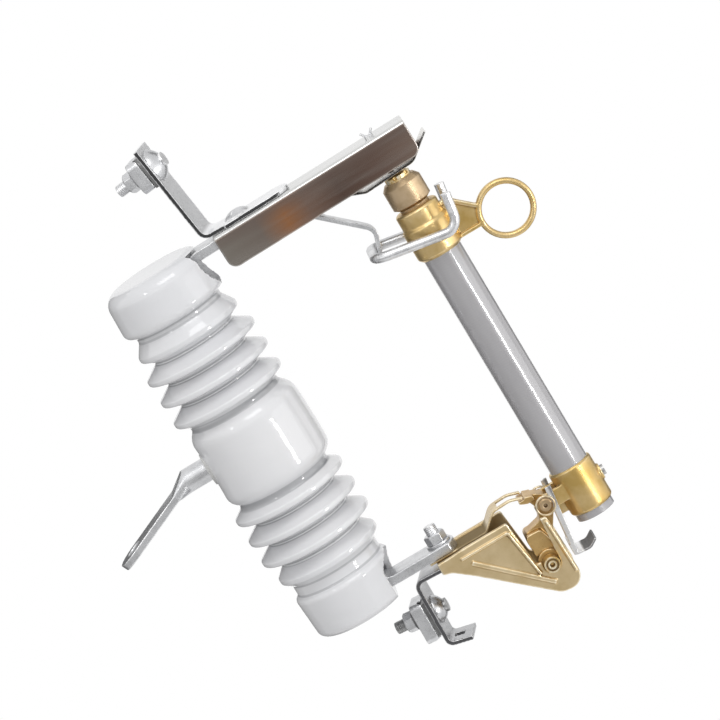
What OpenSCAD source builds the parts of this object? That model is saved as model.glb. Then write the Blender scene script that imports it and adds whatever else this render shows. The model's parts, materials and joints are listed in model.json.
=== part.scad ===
// Dropout fuse cutout: porcelain insulator, contact hood, hinge and swinging fuse holder.
// Everything is drawn upright along the insulator, x forward to the fuse tube, and
// in_place() then leans it so that the palm of the bracket lies level at the origin.

/* [Insulator] */
// Half the length of the porcelain
half_len = 157; // [147:1:172]
// Radius of the plain middle of the porcelain
belly_r = 45.5; // [40:0.5:52]
// Radius of the upper end cap
upper_cap_r = 44; // [40:0.5:46]
// Radius of the lower end cap
lower_cap_r = 41; // [38:0.5:44]
// Height of an end cap
cap_h = 35; // [30:1:40]
// Radius of the wide sheds
shed_r = 47.5; // [44:0.5:54]
// Radius of the shed next to each cap
end_shed_r = 43; // [41:0.5:48]
// Radius of the grooves between the sheds
groove_r = 34.5; // [31:0.5:37]
// Distance from the end of the porcelain to the tip of the nearest shed
end_to_shed = 54.8; // [52:0.2:58]
// Distance from one shed tip to the next
shed_pitch = 19; // [17:0.5:20]
// Radius of the rounded lip of a shed
lip_r = 2.4; // [1.5:0.1:3]
// Radius of the arched notch that lets an insert bar out
notch_r = 25; // [20:0.5:28]
// Depth of the arched notch
notch_depth = 36; // [32:0.5:40]
// Radius of the cavity in each end
cavity_r = 30; // [26:0.5:32]
// Backward lean of the porcelain from the upright of the metalwork, in degrees
porcelain_lean = 0.8; // [0:0.1:1.5]

/* [Mounting bracket] */
// Diameter of the bar that leaves the porcelain
bar_d = 19; // [14:0.5:20]
// Distance from the insulator's axis to the bend
bend_x = 65; // [55:1:80]
// Height of the bar above the middle of the porcelain
bar_z = 2.3; // [0:0.1:4]
// Angle between the palm and the bar, and so the lean of the insulator
lean = 24; // [15:1:30]
// Length of the palm from the bend
palm_len = 82.5; // [70:0.5:95]
// Width of the palm at its end
palm_w = 26; // [24:0.5:36]
// Thickness of the palm
palm_t = 6; // [5:0.5:8]
// Diameter of the bolt hole in the palm
palm_hole_d = 14; // [10:0.5:14]
// Distance from the end of the palm to the bolt hole
palm_edge = 17; // [14:0.5:22]

/* [Insert bars] */
// Width of both insert bars
insert_w = 28; // [22:1:30]
// Thickness of both insert bars
insert_t = 8; // [6:0.5:9]
// Distance of an insert bar's upright leg from the axis
insert_x = 20; // [16:0.5:22]
// Reach of the lower insert bar
lower_reach = 89; // [86:0.5:90]
// Reach of the upper insert bar
upper_reach = 122; // [105:1:135]
// Inside radius of the bend of an insert bar
insert_bend = 10; // [8:0.5:11]
// Depth of the top of the upper insert bar below the end of the porcelain
upper_bar_depth = 3.4; // [3:0.2:8]
// Depth of the top of the lower insert bar in the lower end of the porcelain
lower_bar_depth = 15.7; // [14:0.1:20]

/* [Contact hood] */
// Distance from the axis to the back of the hood
hood_x = 50.5; // [48:0.5:54]
// Length of the hood
hood_len = 169; // [160:1:180]
// Width of the hood
hood_w = 39; // [37:0.5:44]
// Height of the hood
hood_h = 28.7; // [26:0.1:32]
// Sheet thickness of the hood
hood_t = 2.5; // [2:0.1:3]
// Rise of the hood towards the front, in degrees
hood_tilt = 1.2; // [0:0.1:2]
// Radius of the lower corners of the hood
hood_corner = 7.5; // [4:0.5:10]
// Radius of the bend along the top edges of the hood
hood_fold = 3.4; // [2.6:0.1:4]

/* [Upper contact and hook] */
// Width of the upper contact leaf
leaf_w = 26; // [20:1:29]
// Thickness of the upper contact leaf
leaf_t = 1.6; // [1.2:0.1:2]
// Gap between the contact leaf and the tip of the fuse holder
touch = 0.5; // [0.3:0.1:1]
// Diameter of the hook rod
hook_d = 8; // [6:0.5:8]
// Distance between the two arms of the hook rod, centre to centre
hook_span = 58; // [56:1:64]
// Slope of the hook arms
hook_slope = 10; // [6:0.5:12]
// Height of the upturned ends of the hook
hook_rise = 29; // [22:1:34]

/* [Fuse holder] */
// Outside diameter of the fuse tube
tube_d = 32; // [28:0.5:34]
// Bore of the fuse tube
tube_bore = 20; // [12:0.5:22]
// Distance from the insulator's axis to the fuse tube
tube_x = 194.4; // [191:0.2:197]
// Reach of the fuse tube below the lower insert bar
tube_drop = 33.2; // [31:0.2:34]
// Outside diameter of the upper ferrule
upper_ferrule_d = 38.4; // [36:0.2:39]
// Length of the upper ferrule
upper_ferrule_len = 41; // [36:1:44]
// Outside diameter of the lower ferrule
lower_ferrule_d = 36; // [35:0.2:38]
// Length of the lower ferrule
lower_ferrule_len = 38.5; // [34:0.5:40]
// Diameter of the contact cap
cap_d = 32; // [28:0.5:34]
// Length of the contact cap
cap_len = 24.6; // [22:0.2:28]
// Diameter of the contact tip
tip_d = 21; // [16:0.5:22]
// Outside diameter of the pull ring
ring_d = 47; // [44:0.5:52]
// Thickness of the pull ring across its plane
ring_w = 7.5; // [6:0.5:9]
// Thickness of the pull ring in its plane
ring_t = 4.8; // [4:0.2:6]

/* [Hinge] */
// Outside width of the hinge casting
hinge_w = 52; // [50:0.5:56]
// Thickness of a side plate of the hinge
plate_t = 5; // [4:0.5:6]
// Diameter of the trunnion pin
trunnion_d = 9; // [8:0.5:10]
// Diameter of the round heads of the trunnion pin
trunnion_head_d = 14; // [12:0.5:14]
// Diameter of the toggle pin
toggle_pin_d = 7; // [6:0.5:8]
// Running gap round a pin
pin_gap = 0.06; // [0.03:0.01:0.1]
// Gap between the trunnion's heads and the slot that they rest in
slot_gap = 0.08; // [0.05:0.01:0.1]
// Width of the hinge contact
hinge_leaf_w = 26; // [20:1:28]
// Thickness of the hinge contact
hinge_leaf_t = 1.8; // [1.2:0.1:2]

/* [Terminals] */
// Width of the terminal straps
strap_w = 31; // [28:0.5:32]
// Thickness of the terminal straps
strap_t = 3.5; // [3:0.1:4]
// Turn of the upper terminal about its bolt, in degrees
upper_turn = 15; // [0:1:18]
// Turn of the lower terminal about its bolt, in degrees
lower_turn = 11; // [0:1:13]
// Backward lean of the upper terminal
strap_lean = 6.5; // [4:0.5:10]
// Thread diameter of all the bolts
bolt_d = 9.5; // [8:0.5:10]
// Gap round a bolt in its hole
bolt_gap = 0.4; // [0.2:0.1:0.6]
// Size of the nuts across the flats
nut_flats = 15; // [14:0.5:16]
// Thickness of the nuts
nut_t = 7.5; // [6:0.5:8]

/* [Hidden] */
$fn = 64;
hull_fn = 32;
// Size of the steps along a rounded corner of an outline
arc_step = 9;
// Sides of a bent rod, and the size of the steps along its bends
rod_sides = 20;
rod_step = 11;
// Reach past a face for a clean cut
past = 1;
// Larger than the whole part
huge = 600;
// A form is this much thinner on each side than the one that it runs into
seam = 0.05;

porcelain = [0.88, 0.88, 0.90];
cement_grey = [0.72, 0.71, 0.68];
galvanised = [0.76, 0.77, 0.78];
dark_steel = [0.35, 0.35, 0.37];
stainless = [0.50, 0.45, 0.41];
silver = [0.85, 0.84, 0.80];
bronze = [0.78, 0.62, 0.36];
pale_bronze = [0.80, 0.72, 0.60];
tube_grey = [0.61, 0.61, 0.63];

// --- Lines and outlines ---------------------------------------------------

function unit(v) = v / norm(v);
function left_of(v) = [-v.y, v.x];
function dir(a) = [cos(a), sin(a)];
function turned(a, b, c) = sign(cross(b - a, c - b));

// The corner at b of the line a, b, c, moved d to its left
function moved_corner(a, b, c, d) =
    let (m = left_of(unit(b - a)), n = left_of(unit(c - b))) b + d * (m + n) / (1 + m * n);

// The line p moved d to its left
function beside(p, d) =
    let (last = len(p) - 1)
    [for (i = [0:last])
        i == 0 ? p[0] + d * left_of(unit(p[1] - p[0]))
        : i == last ? p[last] + d * left_of(unit(p[last] - p[last - 1]))
        : moved_corner(p[i - 1], p[i], p[i + 1], d)];

// The corner at b of the line a, b, c as an arc of radius r
function corner_arc(a, b, c, r) =
    r <= 0 ? [b]
    : let (
        u = unit(a - b),
        w = unit(c - b),
        half = acos(u * w) / 2,
        middle = b + unit(u + w) * r / sin(half),
        start = b + u * r / tan(half) - middle,
        sweep = (180 - 2 * half) * turned(a, b, c),
        from = atan2(start.y, start.x),
        steps = max(1, ceil(abs(sweep) / arc_step)))
    [for (i = [0:steps]) middle + r * dir(from + sweep * i / steps)];

// A closed outline with its corners rounded to the radii r
function rounded(p, r) =
    let (n = len(p))
    [for (i = [0:n - 1]) each corner_arc(p[(i + n - 1) % n], p[i], p[(i + 1) % n], r[i])];

// An open line with its inner corners rounded, r being those of the line d to its right
function rounded_line(p, r, d) =
    let (last = len(p) - 1)
    [for (i = [0:last]) each
        i == 0 || i == last ? [p[i]]
        : corner_arc(p[i - 1], p[i], p[i + 1], r[i - 1] - d * turned(p[i - 1], p[i], p[i + 1]))];

function reversed(p) = [for (i = [len(p) - 1:-1:0]) p[i]];

// The outline of a sheet t thick bent along the line p
function sheet_outline(p, bends, t) =
    concat(
        rounded_line(beside(p, t / 2), bends, t / 2),
        reversed(rounded_line(beside(p, -t / 2), bends, -t / 2)));

// Drawn in x and z, w wide about the middle plane
module across(w) {
    rotate([90, 0, 0]) linear_extrude(height = w, center = true) children();
}

// A flat bar t thick and w wide that follows the line p
module bent_bar(p, bends, t, w) {
    across(w) polygon(sheet_outline(p, bends, t));
}

// A cylinder along +x from x0 to x1
module bolt_run(x0, x1, d) {
    translate([x0, 0, 0]) rotate([0, 90, 0]) cylinder(d = d, h = x1 - x0);
}

// A cylinder across the part, centred on its middle plane
module cross_pin(d, w) {
    rotate([90, 0, 0]) cylinder(d = d, h = w, center = true);
}

// The children on both sides of the middle plane
module both_sides() {
    children();
    mirror([0, 1, 0]) children();
}

// The corner at b of the line a, b, c in space, as an arc of radius r
function space_arc(a, b, c, r) =
    let (
        u = unit(b - a),
        w = unit(c - b),
        turn = acos(u * w),
        middle = b + unit(w - u) * r / cos(turn / 2),
        out = unit(b - u * r * tan(turn / 2) - middle),
        steps = ceil(turn / rod_step))
    [for (i = [0:steps]) middle + r * (cos(turn * i / steps) * out + sin(turn * i / steps) * u)];

// The line p in space with its inner corners rounded to the radius r
function space_line(p, r) =
    let (last = len(p) - 1)
    [p[0], for (i = [1:last - 1]) each space_arc(p[i - 1], p[i], p[i + 1], r), p[last]];

// The side direction s, carried from point to point along the headings t
function carried(t, s, i = 0) =
    i == len(t) ? [] : let (v = unit(s - (s * t[i]) * t[i])) concat([v], carried(t, v, i + 1));

// A rod of n sides along the points of a line in space
module swept_rod(line, d, n) {
    last = len(line) - 1;
    ahead = [for (i = [0:last]) unit(line[min(i + 1, last)] - line[max(i - 1, 0)])];
    side = carried(ahead, [0.1, 1, 0.2]);
    rings = [for (i = [0:last], j = [0:n - 1]) let (a = j * 360 / n)
        line[i] + d / 2 * (cos(a) * side[i] + sin(a) * cross(ahead[i], side[i]))];
    walls = [for (i = [0:last - 1], j = [0:n - 1]) let (k = (j + 1) % n)
        [i * n + j, (i + 1) * n + j, (i + 1) * n + k, i * n + k]];
    back = [for (j = [0:n - 1]) j];
    front = [for (j = [n - 1:-1:0]) last * n + j];
    polyhedron(rings, concat(walls, [back, front]), convexity = 6);
}

// A round rod through the points p, bent to the radius r at each corner
module round_rod(p, d, r) {
    swept_rod(space_line(p, r), d, rod_sides);
}

// --- Where things lie -----------------------------------------------------

hole_x = palm_len - palm_edge;

// Leans the part and puts the palm's lower face, at its bolt hole, on the origin
module in_place() {
    translate([hole_x, 0, palm_t / 2])
        rotate([0, lean, 0])
            translate([bend_x, 0, -bar_z])
                children();
}

// Height of the top of the upper insert bar and of the lower one
upper_bar_z = half_len - upper_bar_depth;
lower_bar_z = lower_bar_depth - half_len;
lower_bar_under = lower_bar_z - insert_t;

// Points of the hinge, which are measured from the underside of the lower bar
function under_bar(p) = [for (q = p) q + [0, lower_bar_under]];

// Thickness of the hinge casting's web, and of the strap that carries the hook
web_t = 5;
support_t = 3.5;

// The hood's own frame: its inside top corner at the back is the origin
module hood_frame() {
    translate([hood_x, 0, upper_bar_z]) rotate([0, -hood_tilt, 0]) children();
}

// A point of the hood's frame in the part's own x and z
function from_hood(p) =
    [hood_x + p.x * cos(hood_tilt) - p.y * sin(hood_tilt),
     upper_bar_z + p.x * sin(hood_tilt) + p.y * cos(hood_tilt)];

tube_r = tube_d / 2;
tube_bottom = lower_bar_under - tube_drop;
lower_ferrule_z = tube_bottom + 5.5;
lower_ferrule_top = lower_ferrule_z + lower_ferrule_len;

trunnion = [144.5, lower_bar_under - 45];
toggle = [163, lower_bar_under - 5];

module at_tube(z) {
    translate([tube_x, 0, z]) children();
}

module at_trunnion() {
    translate([trunnion.x, 0, trunnion.y]) children();
}

module at_toggle() {
    translate([toggle.x, 0, toggle.y]) children();
}

// --- Insulator ------------------------------------------------------------

groove_round = 3.6;
shoulder_round = 12;
upper_cap_round = 13;
lower_cap_round = 6.5;
cap_foot_round = 5;

// Distance from the middle to the tip of the first shed
first_shed = half_len - end_to_shed - 3 * shed_pitch;

// Heights of the shed tips, from the top down, and of the grooves round them
shed_tips = [for (i = [3:-1:0]) first_shed + i * shed_pitch];
all_tips = concat(shed_tips, [for (i = [0:3]) -first_shed - i * shed_pitch]);
above_tip = 12.6;
below_tip = 6.4;

function tip_radius(i) = i % 7 == 0 ? end_shed_r : shed_r;

neck_r = 38;
belly_foot = -first_shed + 17.2;

// Radius and height of the groove above a shed; beside a cap or the belly it is wider
function groove_over(i) =
    i == 0 ? [neck_r - 1, all_tips[i] + above_tip]
    : i == 4 ? [groove_r + 1.5, all_tips[i] + above_tip - 3]
    : [groove_r, all_tips[i] + above_tip];

// One shed: the groove above it and the two edges of its lip
function shed_points(i) =
    let (z = all_tips[i], r = tip_radius(i)) [groove_over(i), [r, z + lip_r], [r, z - lip_r]];

function shed_rounds(i) = [groove_round, lip_r * 0.98, lip_r * 0.98];

insulator_points = concat(
    [[0, half_len], [upper_cap_r - 1.5, half_len], [upper_cap_r, half_len - cap_h]],
    [[neck_r, half_len - cap_h - 3.5]],
    [for (i = [0:3]) each shed_points(i)],
    [[groove_r + 2, first_shed - below_tip - 1.5], [belly_r, first_shed - below_tip - 12],
        [belly_r, belly_foot]],
    [for (i = [4:7]) each shed_points(i)],
    [[neck_r, -half_len + cap_h + 12.5], [neck_r, -half_len + cap_h + 3.5], [lower_cap_r, -half_len + cap_h]],
    [[lower_cap_r - 1.5, -half_len], [0, -half_len]]);
insulator_rounds = concat(
    [0, upper_cap_round, cap_foot_round, 3],
    [for (i = [0:3]) each shed_rounds(i)],
    [4, shoulder_round, shoulder_round * 0.7],
    [for (i = [4:7]) each shed_rounds(i)],
    [3, 3, cap_foot_round, lower_cap_round, 0]);

// Leans the porcelain back about the neck of its lower cap
module leaned_back() {
    pivot_z = cap_h - half_len;
    translate([0, 0, pivot_z]) rotate([0, -porcelain_lean, 0]) translate([0, 0, -pivot_z]) children();
}

// The arched notch and the cavity behind it, at the upper end
module end_cavity() {
    arch_z = half_len - notch_depth + notch_r;
    translate([0, 0, half_len - notch_depth]) cylinder(r = cavity_r, h = notch_depth + past);
    translate([0, 0, arch_z]) rotate([0, 90, 0]) cylinder(r = notch_r, h = upper_cap_r + past);
    translate([0, -notch_r, arch_z]) cube([upper_cap_r + past, 2 * notch_r, notch_depth]);
}

module insulator() {
    color(porcelain) in_place() leaned_back() difference() {
        rotate(70) rotate_extrude($fn = 96) polygon(rounded(insulator_points, insulator_rounds));
        end_cavity();
        rotate([180, 0, 0]) end_cavity();
        translate([-huge, 0, bar_z]) rotate([0, 90, 0]) cylinder(d = bar_d + 8, h = huge);
    }
}

// Cement fills the cavity to this far below the end face
cement_depth = 0.5;

// Cement round the leg of an insert bar, drawn for the upper end
module end_cement() {
    difference() {
        translate([0, 0, half_len - notch_depth]) cylinder(r = cavity_r, h = notch_depth - cement_depth);
        // The arch stays open in front of the bar
        translate([insert_x + insert_t / 2 + 4, -cavity_r, half_len - notch_depth - past])
            cube([cavity_r, 2 * cavity_r, notch_depth + 2 * past]);
    }
}

module upper_cement() {
    color(cement_grey) in_place() difference() {
        leaned_back() end_cement();
        upper_bar_body();
    }
}

module lower_cement() {
    color(cement_grey) in_place() difference() {
        leaned_back() rotate([180, 0, 0]) end_cement();
        lower_bar_body();
    }
}

module bracket_cement() {
    color(cement_grey) in_place() difference() {
        leaned_back() translate([-belly_r + 1.5, 0, bar_z]) rotate([0, 90, 0])
            cylinder(d = bar_d + 8, h = belly_r - 1.5);
        translate([-huge, 0, bar_z]) rotate([0, 90, 0]) cylinder(d = bar_d, h = huge - 4);
    }
}

// --- Mounting bracket -----------------------------------------------------

// The palm's own frame: x forward along it, with the bend at the origin
module palm_frame() {
    translate([-bend_x, 0, bar_z]) rotate([0, -lean, 0]) children();
}

flat_len = 14;

module mounting_bracket() {
    color(galvanised) in_place() {
        translate([-bend_x, 0, bar_z]) rotate([0, 90, 0]) cylinder(d = bar_d, h = bend_x - 4);
        hull() {
            translate([-bend_x + 0.3, 0, bar_z]) rotate([0, 90, 0])
                cylinder(d = bar_d - 2 * seam, h = 0.5, $fn = hull_fn);
            palm_frame() translate([-flat_len, -palm_w / 2 + seam, -palm_t / 2 + seam])
                cube([0.5, palm_w - 2 * seam, palm_t - 2 * seam]);
        }
        palm_frame() difference() {
            palm_end = palm_len - palm_w / 2;
            union() {
                translate([-palm_end, -palm_w / 2, -palm_t / 2])
                    cube([palm_end - flat_len + past, palm_w, palm_t]);
                translate([-palm_end, 0, -palm_t / 2]) cylinder(d = palm_w, h = palm_t);
            }
            translate([-hole_x, 0, -palm_t]) cylinder(d = palm_hole_d, h = 2 * palm_t);
        }
    }
}

// --- Insert bars ----------------------------------------------------------

// Depth of an insert bar's leg in the cavity
leg_end = half_len - notch_depth + 4;
hood_bolt_x = 24.5;
hinge_bolt_x = 76.8;

module bolt_hole() {
    translate([0, 0, -huge / 2]) cylinder(d = bolt_d + 2 * bolt_gap, h = huge);
}

module upper_bar_body() {
    mid = -insert_t / 2;
    bent_bar(
        [[insert_x, leg_end], [insert_x, from_hood([insert_x - hood_x, mid]).y],
         from_hood([upper_reach - hood_x, mid])],
        [insert_bend + insert_t / 2], insert_t, insert_w);
}

module lower_bar_body() {
    mid = lower_bar_z - insert_t / 2;
    intersection() {
        bent_bar(
            [[insert_x, -leg_end], [insert_x, mid], [lower_reach, mid]],
            [insert_bend + insert_t / 2], insert_t, insert_w);
        // A rounded end
        union() {
            translate([-huge, -huge / 2, -huge / 2]) cube([huge + lower_reach - 10, huge, huge]);
            translate([lower_reach - 20, 0, -huge / 2]) cylinder(r = 20, h = huge);
        }
    }
}

module upper_insert_bar() {
    color(galvanised) in_place() difference() {
        upper_bar_body();
        hood_frame() translate([hood_bolt_x, 0, 0]) bolt_hole();
    }
}

module lower_insert_bar() {
    color(galvanised) in_place() difference() {
        lower_bar_body();
        translate([hinge_bolt_x, 0, 0]) bolt_hole();
    }
}

// --- Contact hood ---------------------------------------------------------

module hood_side_outline() {
    top = hood_t;
    bottom = hood_t - hood_h;
    polygon(rounded(
        [[0, top], [0, bottom], [hood_len, bottom], [hood_len, top]],
        [0, hood_corner, hood_corner, 0]));
}

// The hood's section, in y and z, drawn along +x
module hood_section(l) {
    rotate([90, 0, 90]) linear_extrude(height = l) difference() {
        polygon(rounded(
            [[-hood_w / 2, hood_t], [-hood_w / 2, -hood_h], [hood_w / 2, -hood_h], [hood_w / 2, hood_t]],
            [hood_fold, 0, 0, hood_fold]));
        translate([-hood_w / 2 + hood_t, -hood_h - past]) square([hood_w - 2 * hood_t, hood_h + past]);
    }
}

contact_x = tube_x - hood_x;
// The coil presses on the leaf just behind the tip of the fuse holder
spring_pin_x = contact_x - 3.1;

module contact_hood() {
    color(stainless) in_place() hood_frame() difference() {
        intersection() {
            across(hood_w) hood_side_outline();
            hood_section(hood_len);
        }
        translate([hood_bolt_x, 0, 0]) bolt_hole();
        translate([spring_pin_x, 0, -huge / 2]) cylinder(d = spring_pin_d, h = huge);
    }
}

// Top of the strap on the hood, and underside of all that the bolt clamps
strap_top = hood_t + strap_t;
stack_foot = -insert_t - leaf_t - support_t;
hood_head_d = 22;
hood_head_h = 4.6;

module round_head(d, h) {
    ball = (d * d / 4 + h * h) / (2 * h);
    intersection() {
        translate([0, 0, h - ball]) sphere(r = ball);
        cylinder(d = d, h = h);
    }
}

module hood_bolt() {
    color(galvanised) in_place() hood_frame() translate([hood_bolt_x, 0, 0]) {
        translate([0, 0, strap_top]) round_head(hood_head_d, hood_head_h);
        translate([0, 0, stack_foot - nut_t - 3])
            cylinder(d = bolt_d, h = strap_top + nut_t + 3 - stack_foot);
    }
}

module hex_nut(t) {
    difference() {
        intersection() {
            cylinder(d = nut_flats / cos(30), h = t, $fn = 6);
            // Worn corners
            cylinder(d1 = nut_flats * 0.98 + 2 * t, d2 = nut_flats * 0.98, h = t);
        }
        translate([0, 0, -past]) cylinder(d = bolt_d, h = t + 2 * past);
    }
}

module hood_nut() {
    color(galvanised) in_place() hood_frame()
        translate([hood_bolt_x, 0, stack_foot]) rotate([180, 0, 0]) hex_nut(nut_t);
}

// --- Upper contact and its spring -----------------------------------------

// The leaf, from its seat under the insert bar to its curled front, in the hood's frame
leaf_line = [
    [10, -insert_t - leaf_t / 2], [74, -insert_t - leaf_t / 2], [104, -25.5],
    [117, -31], [160, -29.6], [166, -24.6], [179, -14.6]];
leaf_bends = [12, 12, 3, 10, 10];
leaf_rise = (leaf_line[4].y - leaf_line[3].y) / (leaf_line[4].x - leaf_line[3].x);

// Height of the leaf's middle at x, along its nearly level stretch
function leaf_z(x) = leaf_line[3].y + (x - leaf_line[3].x) * leaf_rise;

module upper_contact() {
    color(silver) in_place() hood_frame() difference() {
        bent_bar(leaf_line, leaf_bends, leaf_t, leaf_w);
        translate([hood_bolt_x, 0, 0]) bolt_hole();
        translate([spring_pin_x, 0, -huge / 2]) cylinder(d = spring_pin_d + 1, h = huge);
    }
}

spring_wire = 2.2;
spring_d = 13;
spring_turns = 5;
spring_steps = 12;

// Coil between the hood and the leaf
module backup_spring() {
    top = -spring_wire / 2;
    drop = top - leaf_z(spring_pin_x) - leaf_t / 2 - spring_wire / 2 - 0.3;
    count = spring_turns * spring_steps;
    color(galvanised) in_place() hood_frame() translate([spring_pin_x, 0, 0])
        swept_rod(
            [for (i = [0:count]) let (a = 360 * i / spring_steps, r = (spring_d - spring_wire) / 2)
                [r * cos(a), r * sin(a), top - drop * i / count]],
            spring_wire, 10);
}

spring_pin_d = 4;
split_end_d = 1.8;

// Pin that guides the coil; its split ends are spread on top of the hood
module spring_pin() {
    color(galvanised) in_place() hood_frame() translate([spring_pin_x, 0, 0]) {
        translate([0, 0, -22]) cylinder(d = spring_pin_d, h = 22 + hood_t + 1);
        translate([0, 0, hood_t]) cylinder(d = spring_pin_d + 3, h = 1.4);
        for (side = [-1, 1])
            translate([side * 1.2, 0, hood_t + 0.6]) rotate([0, side * 38, 0])
                cylinder(d = split_end_d, h = 6);
    }
}

// --- Hook -----------------------------------------------------------------

hook_back = [148, upper_bar_z - 74];
hook_arm = 67.8;
hook_bend = 11;
hook_end_tilt = 82;

module hook_rod() {
    front = hook_back + hook_arm * dir(-hook_slope);
    tip = front + hook_rise * dir(hook_end_tilt);
    y = hook_span / 2;
    color(galvanised) in_place()
        round_rod(
            [[tip.x, -y, tip.y], [front.x, -y, front.y], [hook_back.x, -y, hook_back.y],
             [hook_back.x, y, hook_back.y], [front.x, y, front.y], [tip.x, y, tip.y]],
            hook_d, hook_bend);
}

support_w = 15;

module hook_support() {
    mid = -insert_t - leaf_t - support_t / 2;
    seat = hook_back + [4.8, 0];
    color(galvanised) in_place() difference() {
        bent_bar(
            [from_hood([12, mid]), from_hood([58, mid]), hook_back + [11.5, 17], seat - [0, 3.5]],
            [6, 10], support_t, support_w);
        hood_frame() translate([hood_bolt_x, 0, 0]) bolt_hole();
        translate([hook_back.x, 0, hook_back.y]) cross_pin(hook_d, huge);
    }
}

// --- Terminals ------------------------------------------------------------

module turned_about(x, z_turn) {
    translate([x, 0, 0]) rotate([0, 0, -z_turn]) translate([-x, 0, 0]) children();
}

strap_mid_z = hood_t + strap_t / 2;
strap_foot_x = -3.5;
strap_up = 84;
foot_len = 56.5;

// Leg of the upper strap, in the hood's frame: flat on the hood, then up and leaning back
module upper_strap_leg() {
    bent_bar(
        [[hood_bolt_x, strap_mid_z], [strap_foot_x, strap_mid_z],
         [strap_foot_x, strap_mid_z] + strap_up * dir(90 + strap_lean)],
        [7], strap_t - 2 * seam, strap_w - 2 * seam);
}

// The part of the strap that lies along the hood, from above
module strap_foot() {
    back = hood_bolt_x - 12;
    front = back + foot_len;
    side = strap_w / 2;
    translate([0, 0, hood_t]) linear_extrude(height = strap_t) polygon(rounded(
        [[back, -side], [front, -side], [front, side], [back, side]],
        [0, side - 1, side - 1, 0]));
}

module upper_terminal_strap() {
    color(galvanised) in_place() hood_frame() difference() {
        union() {
            turned_about(hood_bolt_x, upper_turn) upper_strap_leg();
            strap_foot();
        }
        translate([hood_bolt_x, 0, 0]) bolt_hole();
        upper_clamp_frame() bolt_run(-20, 20, bolt_d + 2 * bolt_gap);
    }
}

clamp_up = 66;

// The upper clamp's frame: x is its bolt, with the strap's middle at the origin
module upper_clamp_frame() {
    turned_about(hood_bolt_x, upper_turn)
        translate([strap_foot_x, 0, strap_mid_z])
            rotate([0, -strap_lean, 0])
                translate([0, 0, clamp_up])
                    children();
}

module on_upper_clamp() {
    in_place() hood_frame() upper_clamp_frame() children();
}

lower_strap_z = lower_bar_under - hinge_leaf_t - web_t - strap_t / 2;
lower_leg_x = 47.6;
lower_leg_end = lower_bar_under - 63.7;
lower_leg_lean = 1.6;
lower_clamp_z = lower_bar_under - 37.5;

lower_strap_line = [
    [hinge_bolt_x + 12, lower_strap_z], [lower_leg_x, lower_strap_z],
    [lower_leg_x - (lower_strap_z - lower_leg_end) * tan(lower_leg_lean), lower_leg_end],
    [lower_leg_x + 17.5, lower_leg_end - 3.5]];

module lower_terminal_strap() {
    color(galvanised) in_place() difference() {
        turned_about(hinge_bolt_x, lower_turn) difference() {
            bent_bar(lower_strap_line, [6, 5], strap_t, strap_w);
            // Square hole for a carriage bolt in the foot
            translate([lower_leg_x + 6.5, 0, lower_leg_end - 2]) cube([8, 8, 16], center = true);
        }
        translate([hinge_bolt_x, 0, 0]) bolt_hole();
        lower_clamp_frame() bolt_run(-20, 20, bolt_d + 2 * bolt_gap);
    }
}

// The lower clamp's frame, as the upper one's
module lower_clamp_frame() {
    turned_about(hinge_bolt_x, lower_turn)
        translate([lower_leg_x, 0, lower_strap_z])
            rotate([0, lower_leg_lean, 0])
                translate([0, 0, lower_clamp_z - lower_strap_z])
                    children();
}

module on_lower_clamp() {
    in_place() lower_clamp_frame() children();
}

half_strap = strap_t / 2;
clamp_plate_t = 3.2;
clamp_block_t = 10;
lock_washer_t = 3;
pad_t = 7;

clamp_plate_x = -half_strap - clamp_plate_t;
clamp_block_x = clamp_plate_x - clamp_block_t;
lock_washer_x = clamp_block_x - lock_washer_t;
clamp_nut_x = lock_washer_x - nut_t;
clamp_thread = 7;
head_t = 2;

// Bolt from its thread end, behind the nut, to its head in front of the pad
module clamp_bolt(extra) {
    bolt_run(clamp_nut_x - clamp_thread - extra, half_strap + pad_t + past, bolt_d);
    bolt_run(half_strap + pad_t, half_strap + pad_t + head_t, 11);
}

module clamp_nut() {
    difference() {
        translate([clamp_nut_x, 0, 0]) rotate([0, 90, 0])
            intersection() {
                cylinder(d = nut_flats / cos(30), h = nut_t, $fn = 6);
                cylinder(d1 = nut_flats * 0.98, d2 = nut_flats * 0.98 + 2 * nut_t, h = nut_t);
            }
        bolt_run(clamp_nut_x - past, clamp_nut_x + nut_t + past, bolt_d);
    }
}

module clamp_washer() {
    difference() {
        translate([lock_washer_x, 0, 0]) rotate([0, 90, 0]) cylinder(d1 = 17, d2 = 23, h = lock_washer_t);
        bolt_run(lock_washer_x - past, lock_washer_x + lock_washer_t + past, bolt_d);
    }
}

// Block w across and h high, grooved on the strap's side for a wire
module clamp_block(w, h, drop) {
    difference() {
        translate([clamp_block_x, 0, -drop]) rotate([0, 90, 0]) linear_extrude(height = clamp_block_t)
            polygon(rounded(
                [[-h / 2, -w / 2], [h / 2, -w / 2], [h / 2, w / 2], [-h / 2, w / 2]], [5, 5, 5, 5]));
        bolt_run(clamp_block_x - past, clamp_plate_x + past, bolt_d);
        for (side = [-1, 1])
            translate([clamp_plate_x, side * w * 0.33, -huge / 2]) cylinder(d = 6, h = huge, $fn = 32);
    }
}

module clamp_plate(w, h, drop) {
    difference() {
        translate([clamp_plate_x, -w / 2, -h / 2 - drop]) cube([clamp_plate_t, w, h]);
        bolt_run(clamp_plate_x - past, -half_strap + past, bolt_d);
    }
}

// Domed pad in front of the strap
module clamp_pad(d) {
    difference() {
        translate([half_strap, 0, 0]) rotate([0, 90, 0])
            intersection() {
                round_head(d, pad_t + 1);
                cylinder(d = d, h = pad_t);
            }
        bolt_run(half_strap - past, half_strap + pad_t + past, bolt_d);
    }
}

module upper_clamp_bolt() {
    color(galvanised) on_upper_clamp() clamp_bolt(2);
}

module upper_clamp_nut() {
    color(galvanised) on_upper_clamp() clamp_nut();
}

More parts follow.
